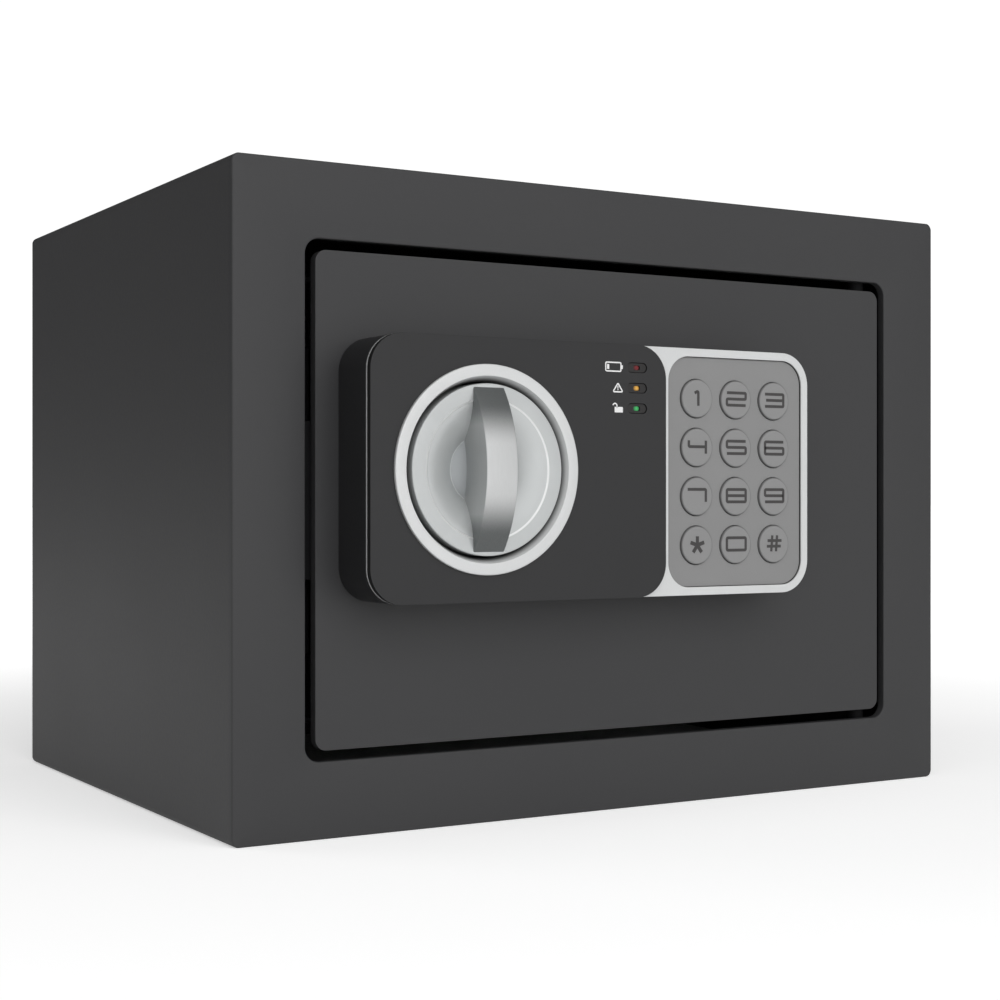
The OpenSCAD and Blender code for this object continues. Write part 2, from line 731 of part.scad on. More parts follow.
module battery_lid() color("black") {
    top = mid_z + flange_h / 2 - 1;
    low = mid_z - flange_h / 2 + tray_wall + slide_gap;
    slab(lid_back, lid_front) translate([tray_x - lid_half_w, low]) square([2 * lid_half_w, top - low]);
    for (k = [0:4]) slab(lid_back - 0.8, lid_back)
        translate([tray_x - 10, top - 6 - 3 * k]) square([20, 1.2]);
}

// Reset button

module reset_switch() color("black") difference() {
    slab(case_back, case_back + switch_t) translate([reset_x, reset_z]) square(12, center = true);
    bar_y(reset_x, reset_z, reset_r + 0.1, case_back - 1, case_back + switch_t - 1);
}

module reset_button() color("red")
    bar_y(reset_x, reset_z, reset_r, cover_back - 1.5, case_back + switch_t - 2.7);

// Leads from the circuit board through the door plate to the solenoid and the battery tray
function at(x, z, reach) = [x, front_y - reach, z];
module wire_leads() color("firebrick") {
    start = board_front - board_t;
    coil_right = plunger_x + coil_r + slide_gap;
    tray_left = tray_x - tray_w / 2 - 3 - slide_gap;
    tube(smooth([at(loom_x - 1.6, loom_z, start), at(loom_x - 1.6, loom_z, -door_t - 5),
        at(loom_x - 3, loom_z + 9, -door_t - 8), at(coil_right + 6, loom_z + 13, plunger_reach),
        at(coil_right, loom_z + 13, plunger_reach)], 6), lead_r, [0.3, 0, 1]);
    tube(smooth([at(loom_x + 1.6, loom_z, start), at(loom_x + 1.6, loom_z, -door_t - 5),
        at(loom_x + 2, loom_z - 6, cell_reach), at(tray_left, loom_z - 8, cell_reach),
        at(tray_left + 3, loom_z - 8, cell_reach)], 6), lead_r, [0.3, 0, 1]);
}

body_shell();
front_frame();
back_panel();
floor_mat();
hinge_brackets();
door_stop();
door_plate();
hinge_lugs();
hinge_pins();
lock_case();
case_cover();
case_posts();
case_screws();
panel_base();
panel_screws();
silver_bezel();
black_cover();
knob_ring();
keypad_mat();
circuit_board();
color("red") led(0);  // led_red
color("orange") led(1);  // led_amber
color("limegreen") led(2);  // led_green
spindle_bush();
guide_studs();
solenoid_yoke();
solenoid_coil();
override_barrel();
battery_tray();
battery_cells();
battery_contacts();
wire_leads();
reset_switch();
knob_dial();
knob_grip();
knob_spindle();
crank();
crank_screw();
bolt_carriage();
locking_bolts();
bolt_rivets();
solenoid_plunger();
plunger_spring();
override_plug();
override_cam();
battery_lid();
reset_button();
for (i = [0:len(key_names) - 1])
    key(i);
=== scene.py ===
import math

import bmesh
import bpy
import numpy as np
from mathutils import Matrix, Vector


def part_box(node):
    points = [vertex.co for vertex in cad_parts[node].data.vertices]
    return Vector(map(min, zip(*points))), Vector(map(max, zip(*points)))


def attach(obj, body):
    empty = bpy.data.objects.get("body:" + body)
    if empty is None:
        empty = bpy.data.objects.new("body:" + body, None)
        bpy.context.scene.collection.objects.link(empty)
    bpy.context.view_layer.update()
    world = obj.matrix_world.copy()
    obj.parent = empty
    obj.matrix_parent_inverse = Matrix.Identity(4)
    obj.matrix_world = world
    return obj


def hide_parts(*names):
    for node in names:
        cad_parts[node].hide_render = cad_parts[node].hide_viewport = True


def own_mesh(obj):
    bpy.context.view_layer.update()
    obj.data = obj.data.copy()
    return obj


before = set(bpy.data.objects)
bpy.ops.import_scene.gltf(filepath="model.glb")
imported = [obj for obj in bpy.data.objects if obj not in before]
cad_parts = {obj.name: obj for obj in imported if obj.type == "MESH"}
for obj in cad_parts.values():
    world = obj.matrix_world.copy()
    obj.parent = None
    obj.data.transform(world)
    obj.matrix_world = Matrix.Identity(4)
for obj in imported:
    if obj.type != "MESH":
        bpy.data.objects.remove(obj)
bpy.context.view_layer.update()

# Camera and room
# A pale studio: bright in front of the door and a little to its left, dim behind. The camera stands left
# of the door, level with the middle of the safe, over seamless white paper.
scene = bpy.context.scene
scene.view_settings.view_transform = "Standard"

camera = bpy.data.objects.new("camera", bpy.data.cameras.new("camera"))
camera.location = (-0.28343, -0.49906, 0.08506)
camera.rotation_euler = (math.radians(90), 0, math.radians(-30.531))
camera.data.lens = 65.37
camera.data.sensor_width = 36
camera.data.clip_start = 0.01
scene.collection.objects.link(camera)
scene.camera = camera


class Wire:
    """One socket of a node tree. + - * / and ** on it add Math nodes, and node() adds any other node."""

    def __init__(self, tree, socket=None):
        self.tree = tree
        self.socket = socket

    def node(self, kind, inputs=(), out=0, **settings):
        """Adds a node of that type: its settings first, then its inputs by name or number."""
        made = self.tree.nodes.new("ShaderNode" + kind)
        for key, value in settings.items():
            setattr(made, key, value)
        for key, value in dict(inputs).items():
            if isinstance(value, Wire):
                self.tree.links.new(value.socket, made.inputs[key])
            else:
                made.inputs[key].default_value = value
        return Wire(self.tree, made.outputs[out])

    def maths(self, operation, *others):
        """One Math node: its operation on this number and the others."""
        return self.node("Math", enumerate([self, *others]), operation=operation)

    def __add__(self, other):
        return self.maths("ADD", other)

    def __sub__(self, other):
        return self.maths("SUBTRACT", other)

    def __rsub__(self, other):
        return self.node("Math", {0: other, 1: self}, operation="SUBTRACT")

    def __mul__(self, other):
        return self.maths("MULTIPLY", other)

    def __truediv__(self, other):
        return self.maths("DIVIDE", other)

    def __pow__(self, other):
        return self.maths("POWER", other)

    __radd__ = __add__
    __rmul__ = __mul__

    def rise(self, low, high):
        """0 below low, 1 above high, with a smooth step between."""
        ends = {"Value": self, "From Min": low, "From Max": high}
        return self.node("MapRange", ends, interpolation_type="SMOOTHSTEP")

    def over(self, under, colour):
        """What lies under where this is 0, and the colour where it is 1."""
        return self.node("Mix", {0: self, 6: under, 7: (*colour, 1)}, out=2, data_type="RGBA")

    def blend(self, low, high):
        """The colour low where this is 0 and the colour high where it is 1."""
        return self.over((*low, 1), high)

    def axis(self, number):
        """One coordinate of a point: 0, 1 or 2 for x, y or z."""
        return self.node("SeparateXYZ", {0: self}, out=number)

    def off_line(self, x, z):
        """How far a point lies from the line along Y at that x and z."""
        off = self.node("VectorMath", {0: self, 1: (x, 0, z)}, operation="SUBTRACT")
        flat = off.node("VectorMath", {0: off, 1: (1, 0, 1)}, operation="MULTIPLY")
        return flat.node("VectorMath", {0: flat}, out=1, operation="LENGTH")


world = bpy.data.worlds.new("studio")
world.use_nodes = True
scene.world = world
sky = Wire(world.node_tree)
toward = sky.node("TexCoord", out=0)
lit_side = sky.node("VectorMath", {0: toward, 1: (-0.22, -0.95, 0.20)}, out=1, operation="DOT_PRODUCT")
seen = sky.node("LightPath", out=0)
glow = lit_side.rise(-0.2, 0.9) * 0.57 + 0.09
background = world.node_tree.nodes["Background"]
background.inputs["Color"].default_value = (1, 1, 1, 1)
white_behind = 1.05
strength = seen * white_behind + (1 - seen) * glow
world.node_tree.links.new(strength.socket, background.inputs["Strength"])


def soft_light(name, place, target, size, watts):
    """A square panel of even white light at place, facing target."""
    lamp = bpy.data.lights.new(name, "AREA")
    lamp.size = size
    lamp.energy = watts
    holder = bpy.data.objects.new(name, lamp)
    holder.location = place
    aim = np.array(target) - np.array(place)
    holder.rotation_euler = (math.atan2(math.hypot(*aim[:2]), -aim[2]), 0, math.atan2(-aim[0], aim[1]))
    holder.visible_glossy = False
    scene.collection.objects.link(holder)


soft_light("front_panel", (-0.1, -1.7, 0.6), (0, 0, 0.08), 1.8, 24)
soft_light("top_panel", (0.1, -0.1, 1.5), (0, 0, 0), 2.0, 2)
soft_light("rear_panel", (-1.1, 0.9, 0.5), (-0.1, 0.1, 0.08), 0.7, 3)

floor_size = 40
floor_mesh = bpy.data.meshes.new("floor")
far = floor_size / 2
floor_mesh.from_pydata([(-far, -far, 0), (far, -far, 0), (far, far, 0), (-far, far, 0)], [], [(0, 1, 2, 3)])
floor_paper = bpy.data.materials.new("floor_paper")
floor_paper.use_nodes = True
paper = floor_paper.node_tree.nodes["Principled BSDF"]
paper.inputs["Base Color"].default_value = (0.86, 0.86, 0.86, 1)
paper.inputs["Roughness"].default_value = 0.9
paper.inputs["Specular IOR Level"].default_value = 0.0
paper.inputs["Emission Color"].default_value = (1, 1, 1, 1)
away = Wire(floor_paper.node_tree).node("TexCoord", out=3)
distance = away.node("VectorMath", {0: away}, out=1, operation="LENGTH")
# Painted light: the paper glows, less than half as bright near the safe and nearly white from a metre out;
# camera rays see the full glow and other rays a tenth of it.
painted_floor_glow = (distance.rise(0.15, 0.9) * 0.55 + 0.43) * (away.node("LightPath", out=0) * 0.9 + 0.1)
white = painted_floor_glow.node("CombineColor", {0: painted_floor_glow, 1: painted_floor_glow, 2: painted_floor_glow})
floor_paper.node_tree.links.new(white.socket, paper.inputs["Emission Color"])
paper.inputs["Emission Strength"].default_value = 1.0
floor_mesh.materials.append(floor_paper)
floor = bpy.data.objects.new("floor", floor_mesh)
scene.collection.objects.link(floor)

# Body: shell, front frame and back panel
# Sheet steel, folded, welded and ground flush, then powder coated dark grey. The coat is smooth with a
# faint orange-peel and has slightly glossier patches where it is thicker.
mm = 0.001
paint_grey = (0.040, 0.040, 0.041)
paint_deep = (0.034, 0.034, 0.036)


def finish_of(name, colour, roughness, metallic=0.0, *, vary, **constants):
    """A material. Constants go on the shader's own sockets. vary() is given a point's own place on the
    piece, in metres, and gives what changes over the surface."""
    material = bpy.data.materials.new(name)
    material.use_nodes = True
    tree = material.node_tree
    shader = tree.nodes["Principled BSDF"]
    shader.inputs["Base Color"].default_value = (*colour, 1)
    shader.inputs["Roughness"].default_value = roughness
    shader.inputs["Metallic"].default_value = metallic
    for key, value in constants.items():
        shader.inputs[key.replace("_", " ")].default_value = value
    for key, wire in vary(Wire(tree).node("TexCoord", out=3)).items():
        tree.links.new(wire.socket, shader.inputs[key])
    return material


def grain(place, scale, detail=2.0, stretch=(1, 1, 1)):
    """Noise from 0 to 1 with that many lumps a metre, stretched along an axis where stretch is under 1."""
    stretched = place.node("Mapping", {"Vector": place, "Scale": stretch})
    return place.node("TexNoise", {"Vector": stretched, "Scale": scale, "Detail": detail})


def relief(height, depth):
    """A bump as deep as that, in metres, where height runs from 0 to 1."""
    return height.node("Bump", {"Height": height, "Distance": depth})


def powder_coat(light, dark, roughness, peel):
    """Sprayed and baked powder: slow drift in colour and gloss, and lumps 1 mm across."""

    def vary(place):
        drift = grain(place, 14)
        lumps = grain(place, 950, 1.0)
        dust = grain(place, 4200, 0.0)
        return {
            "Base Color": (drift * 0.7 + dust * 0.3).blend(dark, light),
            "Roughness": drift * 0.08 + lumps * 0.04 + (roughness - 0.06),
            "Normal": relief(lumps, peel),
        }

    return vary


def dress(names, material, rounding=0.3 * mm, steps=2):
    """Finishes CAD nodes: their loose triangles are welded, flat faces joined, and sharp edges rounded."""
    for name in names:
        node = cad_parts[name]
        node.data.materials.clear()
        node.data.materials.append(material)
        node.data.shade_smooth()
        weld = node.modifiers.new("weld", "WELD")
        weld.merge_threshold = 0.002 * mm
        flats = node.modifiers.new("flats", "DECIMATE")
        flats.decimate_type = "DISSOLVE"
        flats.angle_limit = math.radians(0.5)
        if rounding:
            edges = node.modifiers.new("edges", "BEVEL")
            edges.width = rounding
            edges.segments = steps
            edges.limit_method = "ANGLE"
            edges.angle_limit = math.radians(30)
        even = node.modifiers.new("even", "WEIGHTED_NORMAL")
        even.keep_sharp = True


grey_powder = powder_coat(paint_grey, paint_deep, 0.42, 0.02 * mm)
body_coat = finish_of("body_coat", paint_grey, 0.42, vary=grey_powder)
dress(["body_shell"], body_coat, 0.06 * mm, 1)
dress(["back_panel"], body_coat, 0.25 * mm)


def skin(points, ends=True):
    """Vertices and faces of a grid of points. Each row's last point joins its first, and ends closes the
    first and last rows with one face each."""
    rows, across = points.shape[:2]
    index = np.arange(rows * across).reshape(rows, across)
    beside = np.roll(index, -1, 1)
    faces = np.stack([index[:-1], beside[:-1], beside[1:], index[1:]], -1).reshape(-1, 4).tolist()
    if ends:
        faces += [index[0, ::-1].tolist(), index[-1].tolist()]
    return points.reshape(-1, 3), faces


def piece(name, skins, material, body, stands_for=(), crisp=35):
    """One object from several skins: doubles merged, faces turned outwards, and edges that turn by more
    than crisp degrees kept sharp. It rides on that body."""
    starts = np.cumsum([0] + [len(points) for points, _ in skins])
    faces = [[i + first for i in face] for first, (_, part) in zip(starts, skins) for face in part]
    mesh = bpy.data.meshes.new(name)
    mesh.from_pydata(np.concatenate([points for points, _ in skins]), [], faces)
    solid = bmesh.new()
    solid.from_mesh(mesh)
    bmesh.ops.remove_doubles(solid, verts=solid.verts, dist=1e-6)
    bmesh.ops.dissolve_degenerate(solid, edges=solid.edges, dist=1e-7)
    bmesh.ops.recalc_face_normals(solid, faces=solid.faces)
    solid.to_mesh(mesh)
    solid.free()
    mesh.materials.append(material)
    mesh.shade_smooth()
    mesh.set_sharp_from_angle(angle=math.radians(crisp))
    made = bpy.data.objects.new(name, mesh)
    scene.collection.objects.link(made)
    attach(made, body)
    if stands_for:
        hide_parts(*stands_for)
    return made


def middle(node):
    """The middle of a node's box."""
    low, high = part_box(node)
    return (low + high) / 2


def extent(node):
    """The size of a node's box."""
    low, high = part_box(node)
    return high - low


def reaches(node):
    """How far a node's front and its back stand out from the front frame's face."""
    low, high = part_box(node)
    return front - low.y, front - high.y


def circle(count, turned_by=0):
    """The angles of that many points round a circle, turned by a share of the step between them."""
    return (np.arange(count) + turned_by) * 2 * np.pi / count


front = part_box("front_frame")[0].y
body_w, frame_t, body_h = extent("front_frame")
border = 19.5 * mm
corner_r, opening_r = 2 * mm, 4 * mm
rim, lip = 0.5 * mm, 0.35 * mm


def frame_loop(inset, radius, reach):
    """A rectangle with round corners, that far inside the body's outline: a circle whose points are pushed
    out to the corners by the signs of their cosine and sine."""
    angle = circle(96, 0.5)
    half_w, half_h = body_w / 2 - inset - radius, body_h / 2 - inset - radius
    return np.stack([np.sign(np.cos(angle)) * half_w + radius * np.cos(angle),
                     np.full_like(angle, front - reach),
                     body_h / 2 + np.sign(np.sin(angle)) * half_h + radius * np.sin(angle)], -1)


bend = np.linspace(0, np.pi / 2, 5)
rows = [frame_loop(0, corner_r, -frame_t)]
rows += [frame_loop(rim * (1 - math.cos(a)), corner_r, rim * (math.sin(a) - 1)) for a in bend]
rows += [frame_loop(border - lip * (1 - math.sin(a)), opening_r, lip * (math.cos(a) - 1)) for a in bend]
rows += [frame_loop(border, opening_r, -frame_t), rows[0]]
piece("frame_plate", [skin(np.stack(rows), ends=False)], body_coat, "body", ["front_frame"])

# Floor mat
# Short-pile black felt, cut to the floor with clearance round the two anchor holes, and laid loose.
# Each half is a ring from a hole's edge out to the cut edge, and the two are joined on the middle line.
mat_low, mat_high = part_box("floor_mat")
mat_hole = 7.5 * mm
anchor_off = 55 * mm
anchor_line = 15 * mm


def half_mat(side):
    """At angle a and share s the point is (1 - s) x the hole's edge + s x the half's edge, where the ray
    from the hole's centre leaves the half's box. The wall between the two halves is left out."""
    angle = circle(192)
    steps = 24
    centre = np.array([side * anchor_off, anchor_line])
    low = np.array([min(0, side * mat_high.x), mat_low.y]) - centre
    high = np.array([max(0, side * mat_high.x), mat_high.y]) - centre
    ray = np.stack([np.cos(angle), np.sin(angle)], -1)
    with np.errstate(divide="ignore"):
        out = np.minimum(np.maximum(low[0] / ray[:, 0], high[0] / ray[:, 0]),
                         np.maximum(low[1] / ray[:, 1], high[1] / ray[:, 1]))
    share = np.concatenate([np.linspace(0, 1, steps), np.linspace(1, 0, steps), [0]])[:, None]
    level = np.where(np.arange(2 * steps + 1) // steps == 1, mat_low.z, mat_high.z)[:, None]
    far = mat_hole + (out - mat_hole) * share
    points, faces = skin(np.stack([centre[0] + far * ray[:, 0], centre[1] + far * ray[:, 1],
                                   np.broadcast_to(level, far.shape)], -1), ends=False)
    off_middle = np.abs(points[np.array(faces), 0]).max(1) > 1e-6
    return points, np.array(faces)[off_middle].tolist()


def felt_pile(place):
    """Matted wool fibres: two stretched noises laid across each other, with lighter ends."""
    along = grain(place, 900, 3.0, (1, 0.25, 1))
    over = grain(place, 900, 3.0, (0.25, 1, 1))
    tufts = grain(place, 160, 2.0)
    fibres = along * over * 2
    return {
        "Base Color": (fibres * 0.7 + tufts * 0.3).blend((0.012, 0.012, 0.014), (0.062, 0.062, 0.066)),
        "Roughness": 0.9 + fibres * 0.1,
        "Normal": relief(fibres, 0.35 * mm),
    }


felt = finish_of("felt", (0.03, 0.03, 0.032), 0.95, vary=felt_pile, Sheen_Weight=0.4, Specular_IOR_Level=0.2)
mat = piece("felt_mat", [half_mat(-1), half_mat(1)], felt, "body", ["floor_mat"])

# Hinges and stop
# Brackets welded behind the frame and lugs welded on the door, coated with a thinner powder. The pins are
# drawn steel with a rounded top, and the stop is a folded strip, both blackened and oiled.
inner_grey = (0.050, 0.050, 0.052)
inner_coat = finish_of("inner_coat", inner_grey, 0.5,
                       vary=powder_coat(inner_grey, (0.038, 0.038, 0.040), 0.5, 0.015 * mm))
dress(["hinge_brackets", "hinge_lugs"], inner_coat)


def zinc_plate(place):
    """Passivated zinc: a fine spangle, rolling streaks along the height, and a faint blue and straw tint."""
    streaks = grain(place, 600, 3.0, (1, 1, 0.06))
    spangle = grain(place, 260, 1.0)
    tint = grain(place, 40, 1.0)
    return {
        "Base Color": (spangle * 0.5 + tint * 0.5).blend((0.47, 0.49, 0.53), (0.66, 0.64, 0.58)),
        "Roughness": streaks * 0.2 + spangle * 0.1 + 0.2,
        "Normal": relief(streaks, 0.01 * mm),
    }


zinc = finish_of("zinc_steel", (0.6, 0.61, 0.63), 0.35, 1.0, vary=zinc_plate)


def turned(profile, x, z, steps=128):
    """A profile of (radius, reach) turned about a line along Y: at angle a the point is
    (x + radius cos a, front - reach, z + radius sin a)."""
    radius, reach = np.array(profile, float).T[:, :, None]
    angle = circle(steps)
    flat = np.zeros(steps)
    return skin(np.stack([x + radius * np.cos(angle), front - reach + flat, z + radius * np.sin(angle)], -1),
                ends=False)


def stood(skin_made, x, y, z):
    """A skin turned about a line along Y, stood up instead: forward becomes up, and z runs back."""
    points, faces = skin_made
    swapped = np.stack([x + points[:, 0], y + points[:, 2], z + front - points[:, 1]], -1)
    return swapped, faces


def eased(corners, radii, steps=6):
    """A line of corners with each one rounded: the arc of its radius that touches both of its sides."""
    corners = np.array(corners, float)
    radii = np.broadcast_to(np.array(radii, float), len(corners))[:, None]
    to_last, to_next = (np.roll(corners, s, 0) - corners for s in (1, -1))
    to_last, to_next = (v / np.linalg.norm(v, axis=1, keepdims=True) for v in (to_last, to_next))
    half = np.arccos(np.clip((to_last * to_next).sum(1, keepdims=True), -1, 1)) / 2
    inward = (to_last + to_next) / np.linalg.norm(to_last + to_next, axis=1, keepdims=True)
    centres = corners + inward * radii / np.sin(half)
    first, last = (corners + v * radii / np.tan(half) - centres for v in (to_last, to_next))
    turn = (np.pi - 2 * half)[:, None]
    share = np.linspace(0, 1, steps)[None, :, None]
    swung = np.sin((1 - share) * turn) * first[:, None] + np.sin(share * turn) * last[:, None]
    return (centres[:, None] + swung / np.sin(turn)).reshape(-1, 2)


pin_low, pin_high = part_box("hinge_pins")
pin_r = 2.5 * mm
pin_x, pin_y, _ = middle("hinge_pins")
pin_in_lug = 14 * mm
pin_len = pin_high.z - (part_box("hinge_lugs")[1].z - pin_in_lug)


def pin_shape(low):
    """A round pin standing at low, with both of its ends rounded."""
    profile = eased([(0, 0), (pin_r, 0), (pin_r, pin_len), (0, pin_len)], [0, 0.4 * mm, 0.8 * mm, 0])
    return stood(turned(profile, 0, 0, 48), pin_x, pin_y, low)



def black_oxide(place):
    """Blackened and oiled steel: near black, with oily patches and drawing lines."""
    lines = grain(place, 1400, 2.0, (1, 1, 0.08))
    oil = grain(place, 180, 2.0)
    return {
        "Base Color": (lines * 0.5 + oil * 0.5).blend((0.002, 0.002, 0.002), (0.007, 0.007, 0.008)),
        "Roughness": oil * 0.2 + lines * 0.1 + 0.5,
        "Normal": relief(lines, 0.005 * mm),
    }


blackened = finish_of("blackened_steel", (0.01, 0.01, 0.011), 0.65, vary=black_oxide, Specular_IOR_Level=0.2)
dress(["door_stop"], blackened, 0.2 * mm)
piece("pins", [pin_shape(pin_high.z - pin_len), pin_shape(pin_low.z)], blackened, "door",
      ["hinge_pins"])

# Door plate
# 3 mm laser-cut plate, edges eased by the coat, in the same powder as the body.
door_coat = finish_of("door_coat", paint_grey, 0.42, vary=grey_powder)
dress(["door_plate"], door_coat, 0.4 * mm, 3)

# Lock panel's base
# A deep moulding in black ABS with a light spark texture, screwed on from behind the door.


def spark_texture(light, dark, roughness, depth):
    """The mould's eroded surface: pits 0.3 mm across, with glossier flats between them."""

    def vary(place):
        pits = grain(place, 2600, 2.0)
        wear = grain(place, 45, 2.0)
        return {
            "Base Color": (wear * 0.6 + pits * 0.4).blend(dark, light),
            "Roughness": pits * 0.12 + wear * 0.06 + (roughness - 0.09),
            "Normal": relief(pits, depth),
        }

    return vary


black_abs = finish_of("black_abs", (0.012, 0.012, 0.012), 0.45,
                      vary=spark_texture((0.015, 0.015, 0.016), (0.009, 0.009, 0.010), 0.45, 0.008 * mm))
dress(["panel_base"], black_abs, 0.5 * mm, 3)

# Silver bezel
# A flat ABS plate between the base and the cover, lacquered satin silver on its face, which shows round
# the cover and the keypad. Its edge behind the face is painted dark grey: painted shade between the base and
# the cover.


def silver_lacquer(place):
    """Aluminium flake in clear lacquer: fine glitter and a slow drift in gloss."""
    flake = grain(place, 5200, 0.0)
    drift = grain(place, 60, 2.0)
    return {
        "Base Color": (flake * 0.5 + drift * 0.5).blend((0.65, 0.66, 0.66), (0.75, 0.76, 0.76)),
        "Roughness": flake * 0.1 + drift * 0.06 + 0.26,
        "Normal": relief(flake, 0.003 * mm),
    }


def shade_behind_face(finish, node, low, high, tone):
    """That finish on the node's face. Behind the face it turns into the tone, from low to high: painted shade
    on edges and in recesses.
    """
    face_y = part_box(node)[0].y

    def vary(place):
        looks = finish(place)
        behind = (place.axis(1) - face_y).rise(low, high)
        # Painted shade: the colour goes over to the dark tone behind the face.
        looks["Base Color"] = behind.over(looks["Base Color"], tone)
        return looks

    return vary


# Painted shade: the bezel's edge behind its face is dark grey.
bezel_edge_shade = shade_behind_face(silver_lacquer, "silver_bezel", 0.25 * mm, 0.65 * mm, (0.03, 0.03, 0.03))
bezel_silver = finish_of("bezel_silver", (0.73, 0.74, 0.74), 0.34, 0.35, vary=bezel_edge_shade)
dress(["silver_bezel"], bezel_silver, 0.15 * mm)

# Black cover
# Satin black moulding over the bezel, with a rounded edge whose rim and sides carry painted shade, and three
# shallow windows. A smoked stadium lies in each window, and the signs beside them are printed in white.
cover_spark = spark_texture((0.025, 0.025, 0.026), (0.020, 0.020, 0.021), 0.5, 0.004 * mm)
# Painted shade: the cover's rim and sides behind its face are near black.
cover_rim_shade = shade_behind_face(cover_spark, "black_cover", 0.02 * mm, 0.16 * mm, (0.004, 0.004, 0.004))
cover_black = finish_of("cover_black", (0.022, 0.022, 0.023), 0.5, vary=cover_rim_shade)
dress(["black_cover"], cover_black, 0.3 * mm, 3)

face = reaches("black_cover")[0]
lamp_names = ["led_red", "led_amber", "led_green"]
lamp_x = middle("led_red").x
lamp_z = [middle(name).z for name in lamp_names]
lamp_r = 1.05 * mm
window_w, window_h = 6.3 * mm, 2.7 * mm
inlay_sunk, inlay_gap, inlay_ease = 0.3 * mm, 0.04 * mm, 0.12 * mm
window_floor = face - 0.7 * mm


def stadium(half_w, half_h, count):
    """Points round a slot with round ends: the ends' centres are pushed apart by the sign of the cosine."""
    angle = circle(count, 0.5)
    return np.stack([half_h * np.cos(angle) + np.sign(np.cos(angle)) * (half_w - half_h),
                     half_h * np.sin(angle)], -1)


def window_inlay(z):
    """A stadium plate with a round hole for the lamp's lens: the rows run from the hole's foot to its mouth,
    out over the face, and down the outline to the foot again."""
    half_w, half_h = window_w / 2 - inlay_gap, window_h / 2 - inlay_gap
    outline = stadium(half_w, half_h, 96)
    angle = np.arctan2(outline[:, 1], outline[:, 0])
    hole = (lamp_r + 0.01 * mm) * np.stack([np.cos(angle), np.sin(angle)], -1)
    lip = stadium(half_w - inlay_ease, half_h - inlay_ease, 96)
    rims = np.stack([hole, hole, lip, outline, outline, hole])
    top, side = face - inlay_sunk, face - 0.5 * mm
    reach = np.array([window_floor, top, top, side, window_floor, window_floor])
    grid = np.stack([lamp_x + rims[..., 0], np.broadcast_to(front - reach[:, None], rims.shape[:2]),
                     z + rims[..., 1]], -1)
    return skin(grid, ends=False)


smoked = finish_of("smoked_plastic", (0.02, 0.02, 0.021), 0.35,
                   vary=spark_texture((0.022, 0.021, 0.021), (0.017, 0.016, 0.016), 0.35, 0.002 * mm))
for name, z in zip(lamp_names, lamp_z):
    piece("window_" + name[4:], [window_inlay(z)], smoked, "door")


def strip(line, width, low, high, closed=False):
    """A flat strip along a line of (x, z) points between two reaches: each edge lies half the width off,
    along the mitre of the two sides that meet there."""
    line = np.array(line, float)
    if closed:
        line = np.concatenate([line, line[:1]])
    keep = np.concatenate([[True], np.linalg.norm(np.diff(line, axis=0), axis=1) > 1e-7])
    line = line[keep]
    side = np.diff(line, axis=0)
    side = side / np.linalg.norm(side, axis=1, keepdims=True)
    before = np.concatenate([side[-1:] if closed else side[:1], side])
    after = np.concatenate([side, side[:1] if closed else side[-1:]])
    off = np.stack([-(before + after)[:, 1], (before + after)[:, 0]], -1)
    off = off / (1 + (before * after).sum(1, keepdims=True)) * width / 2
    corners = np.stack([line - off, line - off, line + off, line + off], 1)
    reach = np.broadcast_to(front - np.array([low, high, high, low]), corners.shape[:2])
    return skin(np.stack([corners[..., 0], reach, corners[..., 1]], -1), ends=not closed)


def white_ink_film(place):
    """Pad-printed ink: a thin even film, a little mottled."""
    mottle = grain(place, 3000, 1.0)
    ink = mottle.blend((0.68, 0.68, 0.68), (0.80, 0.80, 0.80))
    return {"Base Color": ink, "Roughness": mottle * 0.1 + 0.45}


white_ink = finish_of("white_ink", (0.75, 0.75, 0.75), 0.5, vary=white_ink_film)
ink_t = 0.03 * mm
sign_right = lamp_x - window_w / 2 - 1.5 * mm
sign_h = 2.3 * mm
line_w = 0.34 * mm


def printed(name, strips):
    """White strips printed on the cover's face, each given as points, width and whether it closes."""
    skins = [strip(points, width, face - ink_t, face + ink_t, closed) for points, width, closed in strips]
    piece(name, skins, white_ink, "door")


z = lamp_z[0]
left, right = sign_right - 5.4 * mm, sign_right - 0.6 * mm
case_line = eased([(left, z - sign_h / 2), (right, z - sign_h / 2), (right, z + sign_h / 2),
                   (left, z + sign_h / 2)], 0.3 * mm)
printed("sign_battery", [
    (case_line, line_w, True),
    ([(right + 0.15 * mm, z), (sign_right, z)], 1.0 * mm, False),
    ([(left + 0.75 * mm, z - 0.65 * mm), (left + 0.75 * mm, z + 0.65 * mm)], 0.65 * mm, False),
])

z = lamp_z[1]
left, centre = sign_right - 3.1 * mm, sign_right - 1.55 * mm
hazard_line = eased([(left, z - sign_h / 2), (sign_right, z - sign_h / 2), (centre, z + sign_h / 2)],
                    0.2 * mm)
printed("sign_warning", [
    (hazard_line, line_w, True),
    ([(centre, z - 0.3 * mm), (centre, z + 0.45 * mm)], 0.3 * mm, False),
    ([(centre, z - 0.72 * mm), (centre, z - 0.45 * mm)], 0.3 * mm, False),
])

z = lamp_z[2]
left = sign_right - 2.6 * mm
swing = np.linspace(0, np.pi, 17)
shackle = (left + 0.1 * mm, z + 0.55 * mm) + 0.64 * mm * np.stack([np.cos(swing), np.sin(swing)], -1)
printed("sign_open", [
    ([(left, z - 0.45 * mm), (sign_right, z - 0.45 * mm)], 1.45 * mm, False),
    (np.concatenate([[(left + 0.75 * mm, z + 0.1 * mm)], shackle[:-1]]), line_w, False),
])

# Indicator lamps
# Tinted epoxy lamps behind the windows. The amber and green ones glow; the red one is nearly out.


